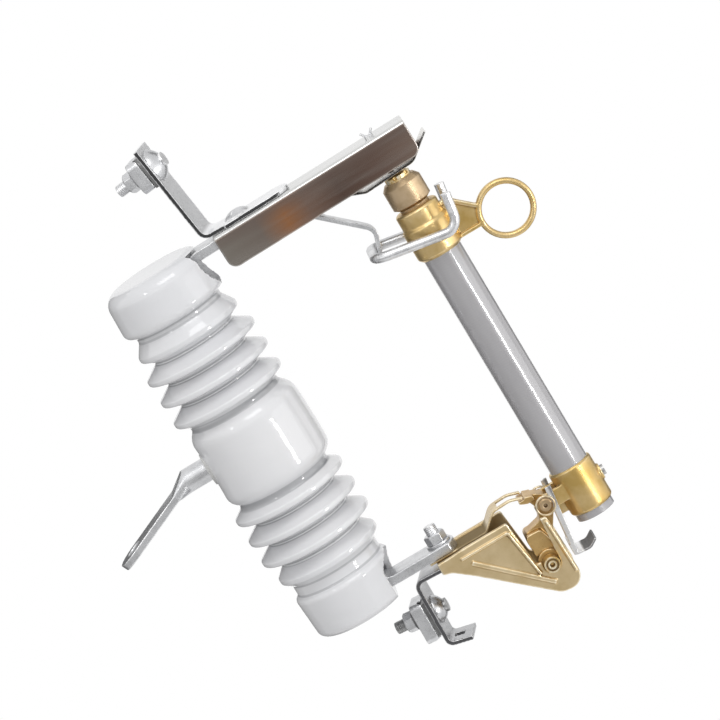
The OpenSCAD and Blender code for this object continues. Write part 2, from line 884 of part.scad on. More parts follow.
module upper_lock_washer() {
    color(galvanised) on_upper_clamp() clamp_washer();
}

module upper_clamp_block() {
    color(galvanised) on_upper_clamp() clamp_block(28, 27, 0);
}

module upper_clamp_plate() {
    color(dark_steel) on_upper_clamp() clamp_plate(26, 28, 0);
}

module upper_clamp_pad() {
    color(galvanised) on_upper_clamp() clamp_pad(28);
}

module lower_clamp_bolt() {
    color(dark_steel) on_lower_clamp() clamp_bolt(1.5);
}

module lower_clamp_nut() {
    color(dark_steel) on_lower_clamp() clamp_nut();
}

module lower_lock_washer() {
    color(dark_steel) on_lower_clamp() clamp_washer();
}

module lower_clamp_block() {
    color(galvanised) on_lower_clamp() clamp_block(30, 34, 3);
}

module lower_clamp_plate() {
    color(dark_steel) on_lower_clamp() clamp_plate(28, 30, 2);
}

module lower_clamp_pad() {
    color(galvanised) on_lower_clamp() clamp_pad(24);
}

// --- Hinge casting --------------------------------------------------------

slot_half = trunnion_head_d / 2 + slot_gap;
// Distance of a side plate's inside from the middle plane, and its rims' rise
rim_rise = 1.8;
plate_in = hinge_w / 2 - rim_rise / 2 - plate_t;

// Side plate with the open slot that the trunnion drops into
module hinge_plate_outline() {
    difference() {
        polygon(rounded(
            under_bar([
                [68, -0.8], [92, 0.2], [130, 0.2], [133.8, -40], [151, -41], [152.5, -10.7],
                [159, -10.7], [160.5, -72.2], [140.5, -69.7], [88, -22.4], [75, -11.9], [68, -10]]),
            [1, 20, 2, 3, 3, 2, 2, 11, 12, 30, 10, 1]));
        translate(trunnion) circle(r = slot_half);
        translate([trunnion.x, trunnion.y]) rotate(-4) translate([-slot_half, 0]) square([2 * slot_half, 50]);
    }
}

// Raised rims on the outside of a side plate
module hinge_rims() {
    rim = 2.2;
    bent_bar(under_bar([[86, -6.4], [127.2, -6.4], [130, -26], [133.4, -48]]), [2, 20], rim, 2 * rim_rise);
    bent_bar(under_bar([[157.2, -14], [158.4, -60]]), [], rim, 2 * rim_rise);
    bent_bar(under_bar([[92, -12.8], [140.5, -59.4]]), [], 3.4, 2 * rim_rise);
}

module hinge_casting() {
    color(bronze) in_place() difference() {
        union() {
            both_sides() {
                translate([0, plate_in + plate_t / 2, 0]) across(plate_t) hinge_plate_outline();
                intersection() {
                    translate([0, plate_in + plate_t, 0]) hinge_rims();
                    translate([0, plate_in + plate_t / 2, -huge / 2]) cube([huge, huge, huge]);
                }
            }
            // Web under the insert bar and the hinge contact
            translate([68, -plate_in - past, lower_bar_under - hinge_leaf_t - web_t])
                cube([44, 2 * (plate_in + past), web_t]);
            // Floor along the sloping edge
            across(2 * (plate_in + past))
                polygon(under_bar([
                    [76, -11.4], [88, -20.4], [112, -41.4], [112, -35.7], [90, -16.7], [76, -6.2]]));
        }
        translate([hinge_bolt_x, 0, 0]) bolt_hole();
        // Room for the lower terminal strap under the web
        turned_about(hinge_bolt_x, lower_turn)
            translate([hinge_bolt_x - 40, -strap_w / 2 - 1, lower_strap_z - strap_t / 2 - 10])
                cube([40 + 13, strap_w + 2, strap_t + 10]);
    }
}

// The hinge contact's line, from its seat under the insert bar to the end of its fingers
hinge_leaf_line = under_bar([
    [63, -hinge_leaf_t / 2], [113, -hinge_leaf_t / 2], [124.5, 10.3], [140, 11.2], [150.5, 7.8]]);
finger_w = 5;

module hinge_contact() {
    color(bronze) in_place() difference() {
        bent_bar(hinge_leaf_line, [5, 10, 14], hinge_leaf_t, hinge_leaf_w);
        translate([hinge_bolt_x, 0, 0]) bolt_hole();
        // The slot that parts the two fingers
        translate([130, -hinge_leaf_w / 2 + finger_w, -huge / 2])
            cube([40, hinge_leaf_w - 2 * finger_w, huge]);
    }
}

hinge_washer_t = 2;
hinge_thread = 6.5;

module hinge_bolt() {
    low = lower_strap_z - strap_t / 2;
    color(galvanised) in_place() translate([hinge_bolt_x, 0, 0]) {
        translate([0, 0, low])
            cylinder(d = bolt_d, h = lower_bar_z - low + hinge_washer_t + nut_t + hinge_thread);
        translate([0, 0, low - 5]) cylinder(d = nut_flats / cos(30), h = 5, $fn = 6);
    }
}

module hinge_nut() {
    color(galvanised) in_place()
        translate([hinge_bolt_x, 0, lower_bar_z + hinge_washer_t]) hex_nut(nut_t);
}

module hinge_washer() {
    color(galvanised) in_place() translate([hinge_bolt_x, 0, lower_bar_z]) difference() {
        cylinder(d = 20, h = hinge_washer_t);
        translate([0, 0, -past]) cylinder(d = bolt_d, h = hinge_washer_t + 2 * past);
    }
}

// --- Toggle ---------------------------------------------------------------

yoke_w = 17;
barrel_w = 2 * plate_in - 2.4;
barrel_r = 10;
arm_w = hinge_leaf_w;
// The arm's pad stays inside the path of the fingers' ends
finger_end = hinge_leaf_line[4] - [0, hinge_leaf_t / 2 + 0.1];
pad_r = norm(finger_end - trunnion) - 0.45;

function on_pad(x) = [x, trunnion.y + sqrt(pad_r * pad_r - (x - trunnion.x) * (x - trunnion.x))];

module toggle_casting() {
    color(bronze) in_place() difference() {
        union() {
            at_trunnion() cross_pin(2 * barrel_r, barrel_w);
            across(barrel_w - 6) polygon(rounded(
                under_bar([[136, -19.2], [150, -19.7], [154, -34.2], [151, -45.2], [137, -45.2]]),
                [4, 3, 5, 0, 0]));
            across(yoke_w) polygon(rounded(
                under_bar([
                    [138, -18.7], [153, -15.2], [156, -5.2], [153, 1.8], [153, 7.4], [161, 4.8],
                    [168, -0.2], [168, -11.2], [152, -37.2], [140, -37.2]]),
                [2, 3, 5, 3, 1, 3, 5, 6, 4, 2]));
            across(arm_w) polygon(concat(
                [on_pad(146), on_pad(151.2)],
                under_bar([[151.6, 7.8], [158, 5.6], [158, 1.8], [152, 1.8], [146, 4.4]])));
        }
        at_trunnion() cross_pin(trunnion_d, huge);
        at_toggle() cross_pin(toggle_pin_d, huge);
    }
}

trunnion_pin_w = 63;
trunnion_head_in = plate_in + 1;

module trunnion_pin() {
    color(bronze) in_place() at_trunnion() {
        cross_pin(trunnion_d, trunnion_pin_w);
        both_sides() translate([0, trunnion_head_in, 0])
            rotate([-90, 0, 0]) cylinder(d = trunnion_head_d, h = trunnion_pin_w / 2 - trunnion_head_in);
    }
}

// The stack on the toggle pin, outwards: the yoke, an ear of the lower ferrule,
// a leg of the flipper, and the spring round the head of the pin
side_gap = 0.5;
ear_in = yoke_w / 2 + side_gap;
ear_t = 4.3;
ear_out = ear_in + ear_t;
flipper_in = ear_out + side_gap;
flipper_t = 1.8;
flipper_out = flipper_in + flipper_t;
pin_head_d = 12;
pin_head_t = 2.8;
coil_wire = 1.5;

module toggle_pin() {
    color(pale_bronze) in_place() at_toggle() {
        cross_pin(toggle_pin_d, 2 * (flipper_out + side_gap + past));
        both_sides() translate([0, flipper_out + side_gap / 2, 0])
            rotate([-90, 0, 0]) cylinder(d = pin_head_d, h = pin_head_t);
    }
}

// Two turns on each side, round the heads of the toggle pin
module torsion_spring() {
    color(dark_steel) in_place() at_toggle() both_sides()
        for (i = [0:1])
            translate([0, flipper_out + side_gap + (i + 0.5) * coil_wire, 0]) rotate([90, 0, 0])
                rotate_extrude() translate([pin_head_d / 2 + 0.6 + coil_wire / 2, 0])
                    circle(d = coil_wire, $fn = 24);
}

// --- Flipper --------------------------------------------------------------

module flipper() {
    foot = [163.6, lower_bar_under - 51.4];
    top_z = lower_bar_under + 6.3;
    color(galvanised) in_place() {
        difference() {
            both_sides() translate([0, (flipper_in + flipper_out) / 2, 0]) across(flipper_t) union() {
                polygon([[169, top_z], [174, top_z], [foot.x + 3, foot.y], [foot.x - 0.9, foot.y]]);
                hull() {
                    translate(toggle) circle(d = pin_head_d - 1);
                    translate(toggle + [6, 0]) circle(d = 6);
                }
            }
            at_toggle() cross_pin(toggle_pin_d + 2 * pin_gap, huge);
        }
        bent_bar(
            [foot + [0, 9], foot, foot + [13, -1.1], [tube_x - tube_bore / 2 - 1, foot.y + 3.2]],
            [1.5, 6], flipper_t, 2 * flipper_out);
    }
}

// --- Fuse holder ----------------------------------------------------------

module fuse_tube() {
    color(tube_grey) in_place() at_tube(tube_bottom) difference() {
        cylinder(d = tube_d, h = upper_ferrule_top - 6 - tube_bottom);
        translate([0, 0, -past]) cylinder(d = tube_bore, h = huge);
    }
}

// The tip stops short of the leaf where the leaf is lowest over it
tip_flat = 6;
tip_foot = from_hood([contact_x - tip_flat, leaf_z(contact_x - tip_flat) - leaf_t / 2]);
tip_top = tip_foot.y - touch;
tip_h = 4.9;
cap_top = tip_top - tip_h;
upper_ferrule_top = cap_top - cap_len;
upper_ferrule_z = upper_ferrule_top - upper_ferrule_len;
ring_x = tube_x + 59;
ring_z = upper_ferrule_z + 3.8;

module pull_ring() {
    translate([ring_x, 0, ring_z]) rotate([90, 0, 0]) rotate_extrude() {
        for (side = [-1, 1])
            translate([ring_d / 2 - ring_t / 2, side * (ring_w - ring_t) / 2]) circle(d = ring_t);
        translate([ring_d / 2 - ring_t, -(ring_w - ring_t) / 2]) square([ring_t, ring_w - ring_t]);
    }
}

module ring_arm() {
    reach = ring_x - ring_d / 2 + 2;
    near = tube_x + 14;
    low = upper_ferrule_z + 3.2;
    high = upper_ferrule_top - 8;
    difference() {
        union() {
            across(4) polygon([
                [near, low - 1.2], [reach + 1, low - 1.2], [reach + 5, ring_z + 12.2],
                    [near + 12, high], [near, high]]);
            bent_bar([[near, low], [reach + 2, low]], [], 3, ring_w);
            bent_bar([[near, high], [near + 9, high], [reach + 5, ring_z + 11.7]], [4], 3, ring_w);
        }
        at_tube(0) cylinder(d = tube_d, h = huge);
    }
}

module upper_ferrule() {
    r = upper_ferrule_d / 2;
    color(bronze) in_place() difference() {
        union() {
            at_tube(0) rotate_extrude() polygon(rounded(
                [[0, upper_ferrule_z], [r - 3, upper_ferrule_z], [r, upper_ferrule_z + 3],
                 [r, upper_ferrule_top - 15], [r - 1.5, upper_ferrule_top - 13],
                 [r - 1.5, upper_ferrule_top - 1.6], [r - 3.1, upper_ferrule_top], [0, upper_ferrule_top]],
                [0, 1, 2, 2, 1, 1, 1, 0]));
            pull_ring();
            ring_arm();
        }
        at_tube(upper_ferrule_z - past) cylinder(d = tube_d, h = upper_ferrule_len - 6 + past);
    }
}

module contact_cap() {
    r = cap_d / 2;
    color(pale_bronze) in_place() at_tube(0) rotate_extrude() polygon(
        [[0, upper_ferrule_top], [r - 4, upper_ferrule_top], [r - 4, upper_ferrule_top + 2],
         [r, upper_ferrule_top + 4.5], [r, cap_top - 4],
         [r - 3.4, cap_top], [0, cap_top]]);
}

module contact_tip() {
    r = tip_d / 2;
    color(bronze) in_place() at_tube(0) difference() {
        rotate_extrude() polygon(
            [[0, cap_top], [r, cap_top], [r, tip_top - 1.5], [tip_flat, tip_top], [0, tip_top]]);
        for (a = [0:60:359])
            rotate(a + 15) translate([r, 0, cap_top + 1.5]) cylinder(d = 3.4, h = huge, $fn = 32);
    }
}

screw_z = lower_ferrule_z + 20;

module lower_ferrule() {
    r = lower_ferrule_d / 2;
    ear_r = 6.5;
    root = tube_x - 8;
    color(bronze) in_place() difference() {
        union() {
            at_tube(0) rotate_extrude() polygon(rounded(
                [[0, lower_ferrule_z], [r - 1.5, lower_ferrule_z], [r, lower_ferrule_z + 2],
                 [r, lower_ferrule_top - 2], [r - 2, lower_ferrule_top], [0, lower_ferrule_top]],
                [0, 1, 1, 1, 1, 0]));
            // Ears that carry the toggle pin
            both_sides() translate([0, (ear_in + ear_out) / 2, 0]) across(ear_t) union() {
                translate(toggle) circle(r = ear_r);
                translate([toggle.x, toggle.y - ear_r]) square([root - toggle.x, 2 * ear_r]);
            }
            // Cable lug
            translate([tube_x - 24, -4, lower_ferrule_z + 6.5]) cube([10, 8, 9]);
            // Screw boss
            translate([tube_x + r - 2, 0, screw_z]) rotate([0, 90, 0]) cylinder(d = 13, h = 3.5);
        }
        at_tube(lower_ferrule_z - past) cylinder(d = tube_d, h = lower_ferrule_len + 2 * past);
        at_toggle() cross_pin(toggle_pin_d + 2 * pin_gap, huge);
        translate([tube_x, 0, screw_z]) bolt_run(0, huge, 6);
    }
}

module ferrule_screw() {
    color(dark_steel) in_place() translate([tube_x, 0, screw_z]) {
        bolt_run(tube_r, lower_ferrule_d / 2 + 1.5, 6);
        bolt_run(lower_ferrule_d / 2 + 1.5, lower_ferrule_d / 2 + 4, 8.5);
    }
}

// --- Parts ----------------------------------------------------------------

insulator();
upper_cement();
lower_cement();
bracket_cement();
mounting_bracket();
upper_insert_bar();
lower_insert_bar();
contact_hood();
hood_bolt();
hood_nut();
upper_contact();
backup_spring();
spring_pin();
hook_rod();
hook_support();
upper_terminal_strap();
upper_clamp_bolt();
upper_clamp_nut();
upper_lock_washer();
upper_clamp_block();
upper_clamp_plate();
upper_clamp_pad();
hinge_casting();
hinge_contact();
hinge_bolt();
hinge_nut();
hinge_washer();
lower_terminal_strap();
lower_clamp_bolt();
lower_clamp_nut();
lower_lock_washer();
lower_clamp_block();
lower_clamp_plate();
lower_clamp_pad();
toggle_casting();
trunnion_pin();
toggle_pin();
torsion_spring();
flipper();
fuse_tube();
upper_ferrule();
contact_cap();
contact_tip();
lower_ferrule();
ferrule_screw();
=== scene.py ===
"""Looks of the dropout fuse cutout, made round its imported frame.

Pieces are made upright along the insulator, x forward to the fuse tube, and then
leaned with the part, as the source of the part does. Nodes of materials and the
scene are in metres; profiles of the pieces and what at() takes are in millimetres.
"""
import json
import math

import bmesh
import bpy
from mathutils import Matrix, Vector

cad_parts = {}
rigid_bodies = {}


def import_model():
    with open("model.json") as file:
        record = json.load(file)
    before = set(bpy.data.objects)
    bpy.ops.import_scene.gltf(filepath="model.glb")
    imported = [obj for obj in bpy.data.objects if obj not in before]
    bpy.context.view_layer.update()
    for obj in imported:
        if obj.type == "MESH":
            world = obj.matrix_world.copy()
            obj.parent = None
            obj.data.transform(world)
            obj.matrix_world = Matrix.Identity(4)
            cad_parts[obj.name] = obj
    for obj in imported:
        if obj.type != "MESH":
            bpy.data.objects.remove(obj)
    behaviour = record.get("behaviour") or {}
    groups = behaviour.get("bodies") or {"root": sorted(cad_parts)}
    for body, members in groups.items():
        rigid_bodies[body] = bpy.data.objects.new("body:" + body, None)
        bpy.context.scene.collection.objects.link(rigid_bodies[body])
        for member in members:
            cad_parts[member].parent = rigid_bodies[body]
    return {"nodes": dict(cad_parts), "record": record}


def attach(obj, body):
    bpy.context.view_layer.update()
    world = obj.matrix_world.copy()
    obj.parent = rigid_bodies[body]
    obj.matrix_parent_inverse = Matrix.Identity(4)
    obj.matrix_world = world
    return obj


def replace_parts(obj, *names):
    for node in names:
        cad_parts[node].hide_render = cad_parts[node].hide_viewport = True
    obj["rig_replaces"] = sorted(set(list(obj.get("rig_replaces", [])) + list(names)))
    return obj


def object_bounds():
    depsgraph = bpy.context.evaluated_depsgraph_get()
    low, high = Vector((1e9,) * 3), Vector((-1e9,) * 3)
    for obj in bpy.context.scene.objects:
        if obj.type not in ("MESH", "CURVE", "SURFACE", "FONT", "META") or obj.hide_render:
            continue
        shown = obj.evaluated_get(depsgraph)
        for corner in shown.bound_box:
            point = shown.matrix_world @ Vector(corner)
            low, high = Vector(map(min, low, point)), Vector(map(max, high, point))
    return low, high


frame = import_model()
CAD_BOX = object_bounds()
NODES = frame["nodes"]
MM = 0.001


# --- Where things lie --------------------------------------------------------

def named(rows, name):
    return next(row for row in rows if row["name"] == name)


# The tube's axis gives the lean of the insulator and of all that it carries
DOWN_TUBE = Vector(named(frame["record"]["mounts"], "fuse_link_bore")["axis"])
LEAN = math.atan2(-DOWN_TUBE.x, -DOWN_TUBE.z)
LEANED = Matrix.Rotation(LEAN, 4, "Y")
UPRIGHT = LEANED.inverted()

# The middle of the porcelain, from which the part is measured, found from the trunnion
SWING = named(frame["record"]["behaviour"]["joints"], "drop_out_swing")
TRUNNION = Vector((144.5, 0, -194.3))
ORIGIN = UPRIGHT @ Vector(SWING["pos_m"]) - MM * TRUNNION


def at(x, y, z):
    """A point given in millimetres from the middle of the porcelain, along its metalwork."""
    return ORIGIN + MM * Vector((x, y, z))


def upright_points(node):
    return [UPRIGHT @ v.co for v in NODES[node].data.vertices]


def upright_box(node):
    """Lowest and highest corner of a node, measured along the insulator."""
    points = upright_points(node)
    return (Vector(min(p[i] for p in points) for i in range(3)),
            Vector(max(p[i] for p in points) for i in range(3)))


def middle(node):
    low, high = upright_box(node)
    return (low + high) / 2


# --- Nodes of materials ------------------------------------------------------

def node_material(name, color, metallic, roughness):
    mat = bpy.data.materials.new(name)
    mat.use_nodes = True
    shader = mat.node_tree.nodes["Principled BSDF"]
    shader.inputs["Base Color"].default_value = (*color, 1)
    shader.inputs["Metallic"].default_value = metallic
    shader.inputs["Roughness"].default_value = roughness
    return mat, shader


def add(mat, kind, **values):
    """A new node; values are its settings, or its inputs, with _ for a space."""
    node = mat.node_tree.nodes.new("ShaderNode" + kind)
    for key, value in values.items():
        if hasattr(node, key):
            setattr(node, key, value)
        else:
            node.inputs[key.replace("_", " ").title()].default_value = value
    return node


def link(mat, out, socket):
    mat.node_tree.links.new(out, socket)


def feed(mat, socket, value):
    """Gives an input what another socket holds, or a number, or three of them."""
    if isinstance(value, bpy.types.NodeSocket):
        link(mat, value, socket)
    elif socket.type == "RGBA":
        socket.default_value = (*value, 1)
    else:
        socket.default_value = value


def maths(mat, operation, *values):
    made = add(mat, "Math", operation=operation)
    for socket, value in zip(made.inputs, values):
        feed(mat, socket, value)
    return made.outputs["Value"]


def product(mat, first, second):
    return maths(mat, "MULTIPLY", first, second)


def vector_maths(mat, operation, *values):
    """A node for vectors, whose answer is in its output Vector or Value."""
    made = add(mat, "VectorMath", operation=operation)
    for socket, value in zip(made.inputs, values):
        feed(mat, socket, value)
    return made


def along_axis(mat, vector, axis):
    split = add(mat, "SeparateXYZ")
    link(mat, vector, split.inputs["Vector"])
    return split.outputs[axis]


def upright_place(mat):
    """Place on the part in metres, along the insulator."""
    turn = add(mat, "Mapping", Rotation=(0, -LEAN, 0))
    link(mat, add(mat, "TexCoord").outputs["Object"], turn.inputs["Vector"])
    return turn.outputs["Vector"]


def noise_of(mat, scale, detail=4.0, rough=0.55, stretch=None):
    place = upright_place(mat)
    if stretch:
        longer = add(mat, "Mapping", Scale=stretch)
        link(mat, place, longer.inputs["Vector"])
        place = longer.outputs["Vector"]
    made = add(mat, "TexNoise", Scale=scale, Detail=detail, Roughness=rough)
    link(mat, place, made.inputs["Vector"])
    return made.outputs["Fac"]


def ramp(mat, factor, stops):
    """A colour ramp over a factor: stops are (place, colour)."""
    made = add(mat, "ValToRGB")
    bar = made.color_ramp
    while len(bar.elements) < len(stops):
        bar.elements.new(0.5)
    for element, (place, color) in zip(bar.elements, stops):
        element.position = place
        element.color = (*color, 1)
    link(mat, factor, made.inputs["Fac"])
    return made.outputs["Color"]


def between(mat, factor, low, high, from_low=0.0, from_high=1.0):
    """Leads a factor from low to high as it goes from from_low to from_high."""
    made = add(mat, "MapRange", From_Min=from_low, From_Max=from_high, To_Min=low, To_Max=high)
    link(mat, factor, made.inputs["Value"])
    return made.outputs["Result"]


def mixed(mat, factor, first, second):
    """Two colours mixed by a factor; a colour may be a socket or three numbers."""
    made = add(mat, "Mix", data_type="RGBA")
    feed(mat, made.inputs[0], factor)
    feed(mat, made.inputs[6], first)
    feed(mat, made.inputs[7], second)
    return made.outputs[2]


def bump(mat, shader, heights):
    """Bumps laid one on the other: heights are (factor, strength, distance)."""
    last = None
    for height, strength, distance in heights:
        made = add(mat, "Bump", Strength=strength, Distance=distance)
        link(mat, height, made.inputs["Height"])
        if last:
            link(mat, last, made.inputs["Normal"])
        last = made.outputs["Normal"]
    link(mat, last, shader.inputs["Normal"])


FLAT_POINT = 0.5    # Pointiness of a flat face
FLAT_SHARE = 0.25   # how far from flat to an edge or a corner its mask starts


def edges_of(mat, edge_at=0.56, recess_at=0.44):
    """How far a place lies on an outer edge and in a corner, each from 0 to 1."""
    point = add(mat, "NewGeometry").outputs["Pointiness"]
    edge_from = FLAT_POINT + (edge_at - FLAT_POINT) * FLAT_SHARE
    recess_from = FLAT_POINT - (FLAT_POINT - recess_at) * FLAT_SHARE
    return (between(mat, point, 0.0, 1.0, edge_from, edge_at),
            between(mat, point, 0.0, 1.0, recess_from, recess_at))


# --- Materials ---------------------------------------------------------------

def worn_metal(name, dark, light, edge, recess, gloss, patch, grain, depth,
               metallic=0.9, edge_at=0.56, recess_at=0.44):
    """Metal in soft patches over a fine grain, its edges partly worn and partly a painted
    highlight, its corners in painted shade.

    patch and grain are scales of noise, depth the grain's in metres, gloss the least and
    the most roughness.
    """
    mat, shader = node_material(name, light, metallic, gloss[0])
    patches = noise_of(mat, patch, detail=5.0, rough=0.6)
    fine = noise_of(mat, grain, detail=3.0)
    broken = noise_of(mat, patch * 4, detail=3.0)
    on_edge, in_corner = edges_of(mat, edge_at, recess_at)
    color = ramp(mat, patches, [(0.32, dark), (0.68, light)])
    # Painted shade in the corners, broken up by noise
    color = mixed(mat, product(mat, in_corner, between(mat, broken, 0.6, 1.0)), color, recess)
    # Lighter edges: partly wear, partly a painted highlight
    wear_and_sheen = product(mat, on_edge, between(mat, broken, 0.0, 1.0, 0.3, 0.6))
    color = mixed(mat, wear_and_sheen, color, edge)
    link(mat, color, shader.inputs["Base Color"])
    link(mat, between(mat, fine, gloss[0], gloss[1], 0.3, 0.7), shader.inputs["Roughness"])
    bump(mat, shader, [(patches, 0.25, depth * 6), (fine, 0.3, depth)])
    return mat


def in_notches(mat):
    """The shaded floors of the notches, inside the round of the two end caps.

    Each pair of numbers is where the shade starts to fade and where it ends, in metres.
    """
    off = vector_maths(mat, "SUBTRACT", upright_place(mat), ORIGIN).outputs["Vector"]
    forward = along_axis(mat, off, "X")
    height = maths(mat, "ABSOLUTE", along_axis(mat, off, "Z"))
    flat = vector_maths(mat, "MULTIPLY", off, (1, 1, 0)).outputs["Vector"]
    round_axis = vector_maths(mat, "LENGTH", flat).outputs["Value"]
    shade = between(mat, round_axis, 1.0, 0.0, 0.0335, 0.0365)
    shade = product(mat, shade, between(mat, forward, 0.0, 1.0, 0.024, 0.027))
    shade = product(mat, shade, between(mat, height, 0.0, 1.0, 0.120, 0.124))
    return product(mat, shade, between(mat, height, 1.0, 0.0, 0.149, 0.153))


def glaze():
    """Sky-grey glaze with soft ripples; painted shade darkens it in the grooves and a painted
    highlight lightens the rims of the sheds.
    """
    mat, shader = node_material("porcelain", (0.74, 0.75, 0.77), 0, 0.1)
    on_edge, in_corner = edges_of(mat, 0.53, 0.482)
    clouds = noise_of(mat, 9, detail=3.0)
    color = ramp(mat, clouds, [(0.3, (0.73, 0.735, 0.755)), (0.7, (0.80, 0.80, 0.812))])
    # Painted shade in the grooves
    color = mixed(mat, product(mat, in_corner, 0.9), color, (0.27, 0.275, 0.29))
    # Painted highlight on the rims of the sheds
    color = mixed(mat, product(mat, on_edge, 0.6), color, (0.86, 0.86, 0.87))
    color = mixed(mat, in_notches(mat), color, (0.17, 0.17, 0.18))
    link(mat, color, shader.inputs["Base Color"])
    fine = noise_of(mat, 260, detail=2.0)
    link(mat, between(mat, fine, 0.05, 0.12, 0.3, 0.7), shader.inputs["Roughness"])
    ripples = noise_of(mat, 26, detail=2.0, rough=0.5, stretch=(1, 1, 3))
    bump(mat, shader, [(ripples, 0.5, 0.0012), (fine, 0.15, 0.00008)])
    shader.inputs["Coat Weight"].default_value = 0.2
    shader.inputs["Coat Roughness"].default_value = 0.05
    return mat


def hood_sheet():
    """Rolled stainless sheet: brown on its sides, with orange and dark bands along its length;
    painted reflection makes it silver where it faces up, a painted highlight makes it silver along
    its folds, and painted shade darkens its corners.
    """
    mat, shader = node_material("stainless_sheet", (0.2, 0.18, 0.16), 0.9, 0.2)
    place = add(mat, "SeparateXYZ")
    link(mat, upright_place(mat), place.inputs["Vector"])
    low, high = upright_box("contact_hood")
    side = ramp(mat, between(mat, place.outputs["X"], 0.0, 1.0, low.x, high.x), [
        (0.0, (0.30, 0.27, 0.235)), (0.2, (0.255, 0.21, 0.18)), (0.33, (0.42, 0.19, 0.085)),
        (0.44, (0.25, 0.155, 0.115)), (0.6, (0.14, 0.09, 0.07)), (0.8, (0.18, 0.115, 0.09)),
        (1.0, (0.27, 0.19, 0.15))])
    high_up = between(mat, place.outputs["Z"], 0.0, 0.75, (low.z + high.z) / 2, high.z - 0.006)
    side = mixed(mat, high_up, side, (0.22, 0.165, 0.14))
    lines = noise_of(mat, 60, rough=0.6, stretch=(0.15, 1, 2.5))
    side = mixed(mat, between(mat, lines, 0.0, 0.35, 0.4, 0.7), side, (0.30, 0.28, 0.26))
    on_edge, in_corner = edges_of(mat, 0.55, 0.45)
    normal = add(mat, "NewGeometry").outputs["Normal"]
    up = LEANED.to_3x3() @ Vector((0, 0, 1))
    facing_up = vector_maths(mat, "DOT_PRODUCT", normal, up).outputs["Value"]
    # Painted reflection: faces turned up are silver
    color = mixed(mat, between(mat, facing_up, 0.0, 1.0, 0.2, 0.45), side, (0.66, 0.66, 0.65))
    # Painted highlight on the edges and folds
    color = mixed(mat, product(mat, on_edge, 0.8), color, (0.62, 0.60, 0.57))
    # Painted shade in the corners
    color = mixed(mat, in_corner, color, (0.06, 0.05, 0.045))
    link(mat, color, shader.inputs["Base Color"])
    link(mat, between(mat, lines, 0.14, 0.3, 0.3, 0.7), shader.inputs["Roughness"])
    bump(mat, shader, [(lines, 0.2, 0.0001)])
    return mat


def varnished_tube():
    """Glass-fibre tube: faint turns of fibre under a coat of varnish."""
    mat, shader = node_material("fibre_tube", (0.3, 0.295, 0.3), 0, 0.35)
    wave = add(mat, "TexWave", wave_type="BANDS", bands_direction="Z",
               Scale=160.0, Distortion=4.0, Detail=2.0)
    link(mat, upright_place(mat), wave.inputs["Vector"])
    turns = wave.outputs["Fac"]
    patches = noise_of(mat, 30, rough=0.6, stretch=(1, 1, 0.3))
    color = ramp(mat, patches, [(0.3, (0.33, 0.322, 0.332)), (0.7, (0.385, 0.377, 0.388))])
    color = mixed(mat, between(mat, turns, 0.0, 0.12), color, (0.46, 0.45, 0.46))
    link(mat, color, shader.inputs["Base Color"])
    link(mat, between(mat, patches, 0.28, 0.4), shader.inputs["Roughness"])
    bump(mat, shader, [(turns, 0.1, 0.00003), (patches, 0.15, 0.0002)])
    shader.inputs["IOR"].default_value = 1.7
    shader.inputs["Coat Weight"].default_value = 1.0
    shader.inputs["Coat IOR"].default_value = 1.7
    shader.inputs["Coat Roughness"].default_value = 0.06
    return mat


def pale_cement():
    mat, shader = node_material("cement", (0.7, 0.7, 0.69), 0, 0.8)
    patches = noise_of(mat, 70, detail=5.0)
    fine = noise_of(mat, 900, detail=3.0)
    color = ramp(mat, patches, [(0.3, (0.58, 0.58, 0.57)), (0.7, (0.74, 0.735, 0.72))])
    link(mat, color, shader.inputs["Base Color"])
    link(mat, between(mat, fine, 0.7, 0.95), shader.inputs["Roughness"])
    bump(mat, shader, [(patches, 0.4, 0.0006), (fine, 0.5, 0.0002)])
    return mat


def tinted(mat, factor, color):
    """Mixes a colour over what a material has already."""
    base = mat.node_tree.nodes["Principled BSDF"].inputs["Base Color"]
    link(mat, mixed(mat, factor, base.links[0].from_socket, color), base)
    return mat


def shaded_inside(mat, half_width, color):
    """Painted shade: darkens a metal between two side plates."""
    across = along_axis(mat, add(mat, "TexCoord").outputs["Object"], "Y")
    inside = between(mat, maths(mat, "ABSOLUTE", across), 1.0, 0.0, half_width, half_width + 0.0012)
    return tinted(mat, product(mat, inside, 0.85), color)


def dark_edged(mat, color):
    """Painted shade: darkens the thin edges of a strap or leaf, which face to its sides."""
    across = along_axis(mat, add(mat, "NewGeometry").outputs["Normal"], "Y")
    side_shade = between(mat, maths(mat, "ABSOLUTE", across), 0.0, 0.92, 0.82, 0.93)
    return tinted(mat, side_shade, color)


def shaded_band(mat, start, end, color):
    """Painted shade: darkens and dulls a metal, but not its worn edges, from start to end in
    millimetres of x.
    """
    forward = along_axis(mat, upright_place(mat), "X")
    low, high = at(start, 0, 0).x, at(end, 0, 0).x
    after = between(mat, forward, 0.0, 1.0, low, low + 0.002)
    before = between(mat, forward, 1.0, 0.0, high - 0.004, high)
    off_edge = between(mat, edges_of(mat)[0], 1.0, 0.0)
    dark = product(mat, product(mat, after, before), off_edge)
    shader = mat.node_tree.nodes["Principled BSDF"]
    link(mat, between(mat, dark, 0.9, 0.0), shader.inputs["Metallic"])
    rough = shader.inputs["Roughness"]
    link(mat, maths(mat, "ADD", rough.links[0].from_socket, product(mat, dark, 0.45)), rough)
    return tinted(mat, product(mat, dark, 0.9), color)


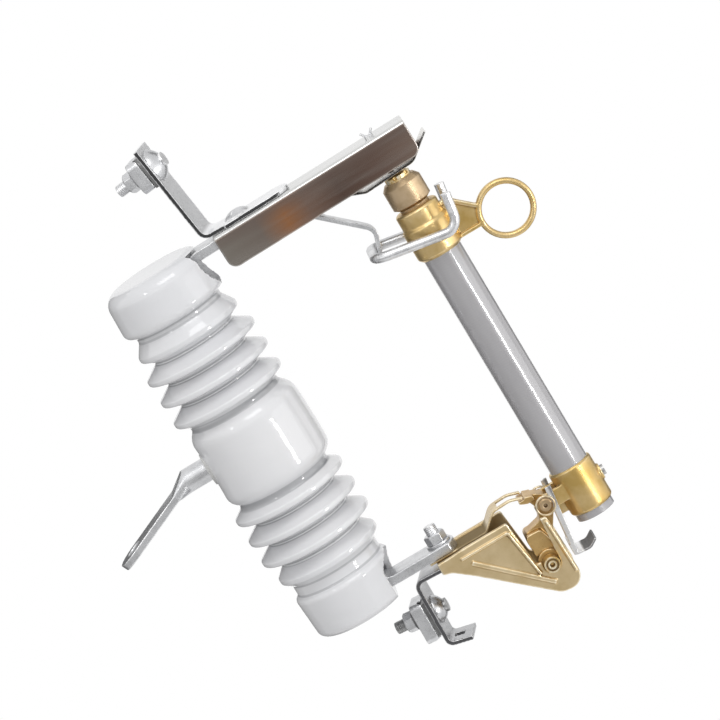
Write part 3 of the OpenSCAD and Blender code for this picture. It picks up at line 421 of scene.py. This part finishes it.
# One for each material slot of the record
MATERIALS = {
    "galvanised_steel": worn_metal(
        "galvanised_steel", dark=(0.52, 0.525, 0.535), light=(0.76, 0.765, 0.78),
        edge=(0.94, 0.94, 0.94), recess=(0.05, 0.05, 0.055), gloss=(0.24, 0.40),
        patch=55, grain=900, depth=0.00003, recess_at=0.455),
    "dark_steel": worn_metal(
        "dark_steel", dark=(0.17, 0.17, 0.17), light=(0.30, 0.30, 0.30),
        edge=(0.62, 0.62, 0.62), recess=(0.04, 0.04, 0.04), gloss=(0.28, 0.48),
        patch=80, grain=900, depth=0.00006),
    "silver_plate": dark_edged(worn_metal(
        "contact_silver", dark=(0.62, 0.60, 0.55), light=(0.82, 0.81, 0.78),
        edge=(0.93, 0.92, 0.90), recess=(0.16, 0.13, 0.10), gloss=(0.15, 0.3),
        patch=45, grain=700, depth=0.00003, metallic=0.95), (0.015, 0.015, 0.015)),
    "bronze": worn_metal(
        "bronze", dark=(0.57, 0.385, 0.125), light=(0.78, 0.59, 0.30),
        edge=(1.0, 0.93, 0.72), recess=(0.12, 0.065, 0.03), gloss=(0.28, 0.44),
        patch=45, grain=1000, depth=0.00008, edge_at=0.55, recess_at=0.46),
    "pale_bronze": worn_metal(
        "pale_bronze", dark=(0.42, 0.30, 0.17), light=(0.54, 0.40, 0.24),
        edge=(0.60, 0.455, 0.29), recess=(0.14, 0.095, 0.05), gloss=(0.36, 0.46),
        patch=25, grain=900, depth=0.00001, edge_at=0.55, recess_at=0.46),
    "stainless_sheet": hood_sheet(),
    "cement": pale_cement(),
    "fibre_tube": varnished_tube(),
    "porcelain": glaze(),
}

# Nodes that look unlike the rest of their slot
OWN_MATERIALS = {
    # Painted light: a lighter copy of the galvanised steel
    "upper_terminal_strap": dark_edged(worn_metal(
        "upper_strap", dark=(0.80, 0.805, 0.815), light=(0.90, 0.90, 0.91),
        edge=(0.97, 0.97, 0.97), recess=(0.08, 0.08, 0.085), gloss=(0.24, 0.42),
        patch=55, grain=900, depth=0.00004), (0.006, 0.006, 0.007)),
    # Painted shade: a darker copy of the galvanised steel
    "lower_terminal_strap": dark_edged(worn_metal(
        "lower_strap", dark=(0.42, 0.425, 0.435), light=(0.60, 0.60, 0.61),
        edge=(0.88, 0.88, 0.88), recess=(0.05, 0.05, 0.055), gloss=(0.24, 0.42),
        patch=55, grain=900, depth=0.00004), (0.10, 0.10, 0.105)),
    "lower_clamp_nut": MATERIALS["galvanised_steel"],
    # Painted shade on the flipper from x 170 to 190 mm
    "flipper": shaded_band(worn_metal(
        "flipper_steel", dark=(0.76, 0.755, 0.75), light=(0.92, 0.92, 0.92),
        edge=(1.0, 1.0, 1.0), recess=(0.08, 0.08, 0.08), gloss=(0.26, 0.42),
        patch=55, grain=900, depth=0.00004), 170, 190, (0.13, 0.13, 0.135)),
    "hinge_casting": shaded_inside(worn_metal(
        "hinge_bronze", dark=(0.63, 0.475, 0.245), light=(0.79, 0.63, 0.38),
        edge=(1.0, 0.94, 0.76), recess=(0.12, 0.065, 0.03), gloss=(0.28, 0.44),
        patch=45, grain=1000, depth=0.00008, edge_at=0.55, recess_at=0.46),
        0.0195, (0.15, 0.09, 0.035)),
    "toggle_casting": worn_metal(
        "toggle_bronze", dark=(0.48, 0.29, 0.10), light=(0.66, 0.45, 0.19),
        edge=(0.95, 0.82, 0.55), recess=(0.10, 0.05, 0.02), gloss=(0.26, 0.42),
        patch=45, grain=1000, depth=0.00008, edge_at=0.55, recess_at=0.46),
    # Painted shade on the seat of the hinge contact, from x 86 to 117 mm
    "hinge_contact": shaded_band(worn_metal(
        "contact_bronze", dark=(0.55, 0.41, 0.21), light=(0.74, 0.59, 0.35),
        edge=(0.92, 0.82, 0.6), recess=(0.12, 0.065, 0.03), gloss=(0.22, 0.4),
        patch=45, grain=1000, depth=0.00005, edge_at=0.55, recess_at=0.46),
        86, 117, (0.17, 0.11, 0.03)),
    "torsion_spring": worn_metal(
        "spring_steel", dark=(0.50, 0.37, 0.20), light=(0.68, 0.53, 0.32),
        edge=(0.9, 0.8, 0.6), recess=(0.08, 0.05, 0.03), gloss=(0.25, 0.4),
        patch=80, grain=900, depth=0.00004),
}


# --- Pieces ------------------------------------------------------------------

SLOTS = {s["node"]: s["material_slot"] for s in frame["record"]["subparts"]}
BODIES = frame["record"]["behaviour"]["bodies"]


def body_of(node):
    return next(b for b, members in BODIES.items() if node in members)


def material_of(node):
    return OWN_MATERIALS.get(node, MATERIALS[SLOTS[node]])


def dress(piece, material, angle=None):
    """Gives a piece its material and smooth faces; edges sharper than angle stay hard."""
    piece.data.materials.clear()
    piece.data.materials.append(material)
    for face in piece.data.polygons:
        face.use_smooth = True
    if angle:
        piece.data.set_sharp_from_angle(angle=math.radians(angle))


def beside(name, mesh, node, angle=None):
    """A piece made upright that rides with a CAD node and shines as it does."""
    mesh.transform(LEANED)
    piece = bpy.data.objects.new(name, mesh)
    bpy.context.scene.collection.objects.link(piece)
    dress(piece, material_of(node), angle)
    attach(piece, body_of(node))
    return piece


def stand_in(name, mesh, node, angle=None):
    """The same, standing for the node."""
    piece = beside(name, mesh, node, angle)
    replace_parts(piece, node)


def circle(sides):
    """Angles of the corners of a circle."""
    return [2 * math.pi * k / sides for k in range(sides)]


def bridge(bm, rings):
    """Faces from each ring of points to the next; a ring may be a single point."""
    for a, b in zip(rings, rings[1:]):
        sides = max(len(a), len(b))
        for k in range(sides):
            j = (k + 1) % sides
            corners = (a[k % len(a)], a[j % len(a)], b[j % len(b)], b[k % len(b)])
            bm.faces.new(list(dict.fromkeys(corners)))


def mesh_of(bm, name):
    mesh = bpy.data.meshes.new(name)
    bmesh.ops.recalc_face_normals(bm, faces=bm.faces)
    bm.to_mesh(mesh)
    bm.free()
    return mesh


def resampled(line, spacing):
    """The same line with a point at least every so far."""
    made = [line[0]]
    for a, b in zip(line, line[1:]):
        steps = max(1, math.ceil((b - a).length / spacing))
        made += [a.lerp(b, k / steps) for k in range(1, steps + 1)]
    return made


def turned(name, profile, sides, shape=None):
    """A turned body: profile points are radius and height in millimetres, from axis to axis."""
    bm = bmesh.new()
    rings = []
    for r, z in profile:
        off_axis = r > 1e-6
        angles = circle(sides) if off_axis else [0]
        rings.append([bm.verts.new((r * math.cos(a), r * math.sin(a), z)) for a in angles])
    bridge(bm, rings)
    if shape:
        for v in bm.verts:
            v.co = shape(v.co)
    return mesh_of(bm, name)


# --- Porcelain ---------------------------------------------------------------

HALF_LEN = 157
CAP_H = 35
PORCELAIN_LEAN = math.radians(-0.8)     # of the porcelain against its metalwork
PORCELAIN_SIDES = 220
PROFILE_STEP = 1.6
ROUNDING_STEP = 12                      # degrees from point to point round a corner

GROOVE_R = 34.2
SHED_R = 47.5
OUTER_SHED_R = 43.4                     # of the first and the last shed
SHED_TIPS = [102.2, 83.2, 64.2, 45.2, -45.2, -64.2, -83.2, -102.2]

NOTCH_R = 25
NOTCH_DEPTH = 36
NOTCH_FLOOR = 29.5                      # from the axis to the floor
LOWER_NOTCH_ASIDE = 6                   # the lower one lies towards -y, as in the photo

BAR_Z = 2.3                             # the bracket's bar
SOCKET_R = 13.4
SOCKET_FLOOR = -43.2
BELLY_FORWARD = 2.2                     # how far the belly's middle lies to the front
BELLY_HALF = 38                         # from there to where that has faded


def rounded(corners):
    """A line in the plane; each of its corners is radius, height and rounding."""
    places = [Vector(corner[:2]) for corner in corners]
    made = [places[0]]
    for a, b, c, (_, _, rounding) in zip(places, places[1:], places[2:], corners[1:]):
        u, w = (b - a).normalized(), (c - b).normalized()
        turn = u.angle(w)
        if rounding == 0 or turn < 0.01:
            made.append(b)
            continue
        centre = b + (w - u).normalized() * rounding / math.cos(turn / 2)
        out = (b - u * rounding * math.tan(turn / 2) - centre).normalized()
        steps = max(2, math.ceil(math.degrees(turn) / ROUNDING_STEP))
        for angle in (turn * k / steps for k in range(steps + 1)):
            made.append(centre + rounding * (math.cos(angle) * out + math.sin(angle) * u))
    return made + [places[-1]]


def porcelain_profile():
    """From the top of the axis to its bottom: end cap, four sheds, belly, four sheds, end cap."""
    corners = [(0, HALF_LEN, 0), (42.6, HALF_LEN, 12), (44.2, HALF_LEN - CAP_H, 5.5),
               (37, HALF_LEN - CAP_H - 3.5, 2.5)]
    for i, z in enumerate(SHED_TIPS):
        if i == 0:
            corners.append((36.6, z + 12.2, 4))
        elif i == 4:
            corners.append((36, z + 9.6, 4))
        else:
            corners += [(GROOVE_R, z + 12.4, 2), (GROOVE_R + 0.4, z + 10.4, 3)]
        tip = OUTER_SHED_R if i in (0, 7) else SHED_R
        corners += [(tip, z + 2.0, 1.85), (tip, z - 1.8, 1.8)]
        if i == 3:
            corners += [(36.5, z - 7.9, 4), (45.5, z - 18.4, 14), (45.5, z - 73.2, 10)]
    corners += [(37, CAP_H - HALF_LEN + 12.5, 3), (37, CAP_H - HALF_LEN + 3.5, 3),
                (41, CAP_H - HALF_LEN, 5), (39.5, -HALF_LEN, 6), (0, -HALF_LEN, 0)]
    return resampled(rounded(corners), PROFILE_STEP)


def notched(place):
    """Cuts the notch before each insert bar and the bar's socket, and moves the belly forward."""
    x, y, z = place
    arch = HALF_LEN - NOTCH_DEPTH + NOTCH_R
    up = abs(z)
    aside = y + (LOWER_NOTCH_ASIDE if z < 0 else 0)
    inside = NOTCH_R - (math.hypot(aside, up - arch) if up < arch else abs(aside))
    if x > 0 and inside > 0 and (z < 0 or up < HALF_LEN - 2):
        x = min(x, NOTCH_FLOOR + max(0, 1.2 - inside) * 4)
    x += BELLY_FORWARD * max(0, 1 - abs(z / BELLY_HALF) ** 3)
    socket = SOCKET_R - math.hypot(y, z - BAR_Z)
    if x < 0 and socket > 0:
        x = max(x, SOCKET_FLOOR - max(0, 1 - socket))
    return Vector((x, y, z))


def make_porcelain():
    mesh = turned("porcelain", [(p.x, p.y) for p in porcelain_profile()], PORCELAIN_SIDES, notched)
    pivot = Matrix.Translation((0, 0, CAP_H - HALF_LEN))
    mesh.transform(pivot @ Matrix.Rotation(PORCELAIN_LEAN, 4, "Y") @ pivot.inverted())
    mesh.transform(Matrix.Translation(ORIGIN) @ Matrix.Scale(MM, 4))
    stand_in("porcelain_body", mesh, "insulator", angle=60)


# --- Pins, threads and springs -----------------------------------------------

Z_TO_Y = Matrix.Rotation(math.radians(-90), 4, "X")

PIN_SIDES = 48
PIN_STEP = 0.8
TRUNNION_NECK = 20                      # from the middle plane to where its heads start

THREAD_PITCH = 1.5
THREAD_R = 4.67                         # at the roots
THREAD_DEPTH = 0.42
THREAD_TAPER = 1.2                      # the last of its length, where it runs out
THREAD_PAST = 0.05                      # past the end of the bolt, so that no two faces coincide
THREAD_SIDES = 40
ROWS_PER_TURN = 8

SPRING_WIRE = 1.5
SPRING_PITCH = 0.95 * SPRING_WIRE
SPRING_TURNS = 2
SPRING_START = 1.65                     # from the last ring of the node inwards to the first turn
WIRE_SIDES = 10
STEPS_PER_TURN = 24


def reach(node):
    """How far a node reaches across, in millimetres from the middle plane."""
    return upright_box(node)[1].y / MM


def make_pin(name, node, half):
    """A pin turned about y; half of its profile runs from the middle of one face outwards."""
    line = resampled([Vector(p) for p in half], PIN_STEP)
    profile = [(p.x, p.y) for p in line] + [(p.x, -p.y) for p in reversed(line)]
    mesh = turned(name, profile, PIN_SIDES)
    mesh.transform(Matrix.Translation(middle(node)) @ Matrix.Scale(MM, 4) @ Z_TO_Y)
    stand_in(name, mesh, node, angle=40)


def make_pins():
    """The trunnion and the toggle pin, each with a recess and rings in the faces of its heads."""
    end = reach("trunnion_pin")
    make_pin("trunnion", "trunnion_pin", [
        (0, end - 5), (1.9, end - 5), (2.1, end - 0.5), (3.4, end - 0.3), (3.8, end - 1.1),
        (4.8, end - 1.1), (5.2, end - 0.1), (6.0, end - 0.1), (6.4, end - 0.6),
        (6.5, TRUNNION_NECK), (4.5, TRUNNION_NECK)])
    end = reach("toggle_pin")
    make_pin("toggle_pin_turned", "toggle_pin", [
        (0, end - 2.6), (1.5, end - 2.6), (1.7, end - 0.3), (3.0, end), (4.4, end),
        (4.8, end - 0.5), (5.4, end - 0.7), (6, end - 1.2), (6, end - 2.8), (3.5, end - 2.8)])


def axis_of(node):
    """A bolt's centre, the way of its long axis, and how far it reaches back and ahead along it."""
    points = upright_points(node)
    centre = sum(points, Vector()) / len(points)
    way = max(points, key=lambda p: (p - centre).length) - centre
    for _ in range(20):
        way = sum(((p - centre).dot(way) * (p - centre) for p in points), Vector()).normalized()
    ends = [(p - centre).dot(way) for p in points]
    return centre, way, min(ends), max(ends)


def make_thread(name, node, upper_end, length):
    """Thread on one end of a bolt; upper_end says which, up or to the front."""
    centre, way, low, high = axis_of(node)
    if (way.z + 0.3 * way.x > 0) != upper_end:
        way, low, high = -way, -high, -low
    bm = bmesh.new()
    rings = []
    rows = int(length / THREAD_PITCH * ROWS_PER_TURN)
    for i in range(rows + 1):
        t = length * i / rows
        taper = min(1, (length - t) / THREAD_TAPER)
        ring = []
        for k, a in enumerate(circle(THREAD_SIDES)):
            phase = (t / THREAD_PITCH - k / THREAD_SIDES) % 1
            height = (1 - abs(2 * phase - 1)) * taper
            radius = (THREAD_R + THREAD_DEPTH * height) * MM
            ring.append(bm.verts.new((radius * math.cos(a), radius * math.sin(a), t * MM)))
        rings.append(ring)
    bridge(bm, rings)
    bm.faces.new(rings[-1])
    mesh = mesh_of(bm, name)
    start = centre + way * (high - (length - THREAD_PAST) * MM)
    mesh.transform(Matrix.Translation(start) @ way.to_track_quat("Z", "Y").to_matrix().to_4x4())
    beside(name, mesh, node)


def rod(name, line, wire):
    """A round rod along a line of points, in millimetres."""
    bm = bmesh.new()
    rings = []
    side = Vector((0.1, 0.3, 1))
    for i, here in enumerate(line):
        ahead = (line[min(i + 1, len(line) - 1)] - line[max(i - 1, 0)]).normalized()
        side = (side - side.dot(ahead) * ahead).normalized()
        other = ahead.cross(side)
        rings.append([bm.verts.new(here + wire / 2 * (math.cos(a) * side + math.sin(a) * other))
                      for a in circle(WIRE_SIDES)])
    bridge(bm, rings)
    bm.faces.new(rings[0])
    bm.faces.new(rings[-1])
    return mesh_of(bm, name)


def coil(radius):
    """A coil of the spring's wire about z, from height 0 upwards."""
    line = []
    for k in range(SPRING_TURNS * STEPS_PER_TURN + 1):
        turns = k / STEPS_PER_TURN
        a = 2 * math.pi * turns
        line.append(Vector((radius * math.cos(a), radius * math.sin(a), SPRING_PITCH * turns)))
    return rod("coil", line, SPRING_WIRE)


def make_torsion_spring():
    """Two turns of wire on each side of the toggle."""
    low, high = upright_box("torsion_spring")
    radius = (high.x - low.x) / MM / 2 - SPRING_WIRE / 2
    start = high.y / MM - SPRING_WIRE / 2 - SPRING_START
    bm = bmesh.new()
    for side in (-1, 1):
        turns = coil(radius)
        turns.transform(Matrix.Translation((0, side * start, 0))
                        @ Matrix.Rotation(math.radians(-90 * side), 4, "X"))
        bm.from_mesh(turns)
    mesh = mesh_of(bm, "torsion_coils")
    mesh.transform(Matrix.Translation(middle("toggle_pin")) @ Matrix.Scale(MM, 4))
    stand_in("torsion_coils", mesh, "torsion_spring")


# --- Castings and sheet metal ------------------------------------------------

# Cells of the remesh in millimetres
CELLS = {
    "hinge_casting": 0.6, "toggle_casting": 0.5, "upper_ferrule": 0.55, "lower_ferrule": 0.5,
    "contact_hood": 0.7, "mounting_bracket": 0.8, "upper_terminal_strap": 0.6,
    "lower_terminal_strap": 0.6, "upper_insert_bar": 0.7, "lower_insert_bar": 0.7, "flipper": 0.4,
    "hinge_contact": 0.45, "upper_contact": 0.45, "hook_support": 0.5, "upper_clamp_block": 0.45,
    "lower_clamp_block": 0.45, "upper_clamp_plate": 0.5, "lower_clamp_plate": 0.5,
    "upper_clamp_pad": 0.5, "lower_clamp_pad": 0.5,
    "hood_nut": 0.35, "hinge_nut": 0.35, "upper_clamp_nut": 0.35, "lower_clamp_nut": 0.35,
    "upper_lock_washer": 0.35, "lower_lock_washer": 0.35, "hinge_washer": 0.35,
}
SMOOTHINGS = 4
KEPT_FACES = 0.35


def softened(node, cell):
    """A copy of a node with cast or worn edges: remeshed in small cells, smoothed, thinned out."""
    source = bpy.data.objects.new("source", NODES[node].data.copy())
    source.data.transform(UPRIGHT)
    bpy.context.scene.collection.objects.link(source)
    cells = source.modifiers.new("cells", "REMESH")
    cells.mode = "VOXEL"
    cells.voxel_size = cell * MM
    calm = source.modifiers.new("calm", "SMOOTH")
    calm.factor = 0.5
    calm.iterations = SMOOTHINGS
    thin = source.modifiers.new("thin", "DECIMATE")
    thin.ratio = KEPT_FACES
    depsgraph = bpy.context.evaluated_depsgraph_get()
    mesh = bpy.data.meshes.new_from_object(source.evaluated_get(depsgraph))
    bpy.data.objects.remove(source)
    stand_in(node + "_form", mesh, node)


make_porcelain()
make_pins()
make_thread("hood_bolt_thread", "hood_bolt", upper_end=False, length=9)
make_thread("hinge_bolt_thread", "hinge_bolt", upper_end=True, length=6.6)
make_thread("upper_clamp_thread", "upper_clamp_bolt", upper_end=False, length=7.4)
make_thread("lower_clamp_thread", "lower_clamp_bolt", upper_end=False, length=7.4)
make_torsion_spring()
for node, cell in CELLS.items():
    softened(node, cell)

shown = {n for o in bpy.data.objects for n in o.get("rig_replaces", [])}
for node in NODES:
    if node not in shown:
        dress(NODES[node], material_of(node), angle=35)


# --- Camera, light and stage -------------------------------------------------

VIEW_AZIMUTH = math.radians(2)
VIEW_ELEVATION = math.radians(10.5)
VIEW_ROLL = math.radians(31.1)
DISTANCE = 3.0
PICTURE_WIDTH = 0.552
LOOK = LEANED @ at(97.9, 0, 14.5)       # the middle of the picture

# Turn and rise in degrees and distance of each lamp, as around() takes them; its size; watts
LAMPS = {
    "key": (22, 50, 1.7, (1.0, 0.7), 7.5),
    "side": (68, -8, 1.7, (1.2, 0.6), 2.6),
    "window": (43, -13, 1.7, (0.17, 0.26), 5.5),
    "left": (-38, 35, 1.7, (0.15, 0.3), 1.2),
    "front": (-20, 5, 2.4, (1.4, 1.0), 5.5),
}
# From which turn to which, from which rise to which, distance of each card, and its level of grey
CARDS = {
    "dark_card": ((-150, 30), (-40, 14), 1.3, 0.5),
    "left_flag": ((-154, -110), (-60, 50), 1.25, 0.12),
    "right_flag": ((124, 148), (-60, 50), 1.25, 0.12),
}
CARD_FACES = 12
FLOOR_HALF = 12.0
FLOOR_DROP = 2.0                        # from the lowest point of the part
SKY_LEVELS = (0.4, 0.78)                # strength of the world's light from below and from above
SKY_LOWEST = -0.2                       # rise of a ray at which that from below starts to grow


def make_camera():
    """The camera of the photo, turned about its view as the photo is."""
    ahead = Vector((
        -math.sin(VIEW_AZIMUTH) * math.cos(VIEW_ELEVATION),
        math.cos(VIEW_AZIMUTH) * math.cos(VIEW_ELEVATION),
        -math.sin(VIEW_ELEVATION)))
    side = ahead.cross(Vector((0, 0, 1))).normalized()
    up = side.cross(ahead)
    cam_up = up * math.cos(VIEW_ROLL) + side * math.sin(VIEW_ROLL)
    cam_side = side * math.cos(VIEW_ROLL) - up * math.sin(VIEW_ROLL)
    axes = Matrix((cam_side, cam_up, -ahead)).transposed().to_4x4()
    data = bpy.data.cameras.new("camera")
    data.sensor_width = 36
    data.lens = data.sensor_width * DISTANCE / PICTURE_WIDTH
    data.clip_end = 50
    camera = bpy.data.objects.new("camera", data)
    bpy.context.scene.collection.objects.link(camera)
    back = (LEANED.to_3x3() @ ahead) * DISTANCE
    camera.matrix_world = Matrix.Translation(LOOK - back) @ LEANED @ axes
    bpy.context.scene.camera = camera


def around(turn, rise, distance):
    """A place round the part: turn is to the right of the camera, rise along the insulator."""
    turn, rise = math.radians(turn), math.radians(rise)
    flat = math.cos(rise)
    ray = Vector((math.sin(turn) * flat, -math.cos(turn) * flat, math.sin(rise)))
    return LOOK + (LEANED.to_3x3() @ ray) * distance


def area_light(name, place, size, power):
    data = bpy.data.lights.new(name, "AREA")
    data.shape = "RECTANGLE"
    data.size, data.size_y = size
    data.energy = power
    lamp = bpy.data.objects.new(name, data)
    bpy.context.scene.collection.objects.link(lamp)
    back = (place - LOOK).normalized()
    up = LEANED.to_3x3() @ Vector((0, 0, 1))
    side = up.cross(back).normalized()
    axes = Matrix((side, back.cross(side), back)).transposed().to_4x4()
    lamp.matrix_world = Matrix.Translation(place) @ axes


def surface_of(mat):
    return mat.node_tree.nodes["Material Output"].inputs["Surface"]


def stage_piece(name, points, faces, mat):
    mesh = bpy.data.meshes.new(name)
    mesh.from_pydata(points, [], faces)
    mesh.materials.append(mat)
    piece = bpy.data.objects.new(name, mesh)
    bpy.context.scene.collection.objects.link(piece)
    return piece


def white_stage():
    """A pale floor under the part, which the camera and reflections see as white."""
    mat, shader = node_material("floor_white", (0.72, 0.72, 0.72), 0, 0.9)
    paths = add(mat, "LightPath").outputs
    seen = maths(mat, "MAXIMUM", paths["Is Camera Ray"], paths["Is Glossy Ray"])
    seen = maths(mat, "MAXIMUM", seen, paths["Is Transmission Ray"])
    glow = add(mat, "Emission", Color=(1, 1, 1, 1), Strength=1.0)
    mix = add(mat, "MixShader")
    link(mat, seen, mix.inputs[0])
    link(mat, shader.outputs[0], mix.inputs[1])
    link(mat, glow.outputs[0], mix.inputs[2])
    link(mat, mix.outputs[0], surface_of(mat))
    half, z = FLOOR_HALF, CAD_BOX[0].z - FLOOR_DROP
    corners = [(-half, -half, z), (half, -half, z), (half, half, z), (-half, half, z)]
    floor = stage_piece("floor", corners, [(0, 1, 2, 3)], mat)


def grey_card(name, turns, rises, distance, level):
    """A bent card of the studio, seen only in reflections."""
    mat, _ = node_material(name, (level, level, level), 0, 1)
    glow = add(mat, "Emission", Color=(1, 1, 1, 1), Strength=level)
    link(mat, glow.outputs[0], surface_of(mat))
    points = []
    for k in range(CARD_FACES + 1):
        turn = turns[0] + (turns[1] - turns[0]) * k / CARD_FACES
        points += [around(turn, rise, distance) for rise in rises]
    faces = [(2 * k, 2 * k + 2, 2 * k + 3, 2 * k + 1) for k in range(CARD_FACES)]
    card = stage_piece(name, points, faces, mat)
    card.visible_camera = card.visible_diffuse = card.visible_shadow = False


def white_world():
    """Light from all round, stronger from above; the camera and reflections see white."""
    world = bpy.data.worlds.new("world")
    world.use_nodes = True
    bpy.context.scene.world = world
    back = world.node_tree.nodes["Background"]
    back.inputs["Color"].default_value = (1, 1, 1, 1)
    rise = along_axis(world, add(world, "TexCoord").outputs["Generated"], "Z")
    paths = add(world, "LightPath").outputs
    level = add(world, "Mix")
    seen = maths(world, "MAXIMUM", paths["Is Camera Ray"], paths["Is Glossy Ray"])
    link(world, seen, level.inputs[0])
    link(world, between(world, rise, *SKY_LEVELS, from_low=SKY_LOWEST), level.inputs[2])
    level.inputs[3].default_value = 1.0
    link(world, level.outputs[0], back.inputs["Strength"])


bpy.context.scene.view_settings.view_transform = "Standard"
make_camera()
white_stage()
white_world()
for name, (turn, rise, distance, lamp_size, watts) in LAMPS.items():
    area_light(name, around(turn, rise, distance), lamp_size, watts)
for name, card in CARDS.items():
    grey_card(name, *card)
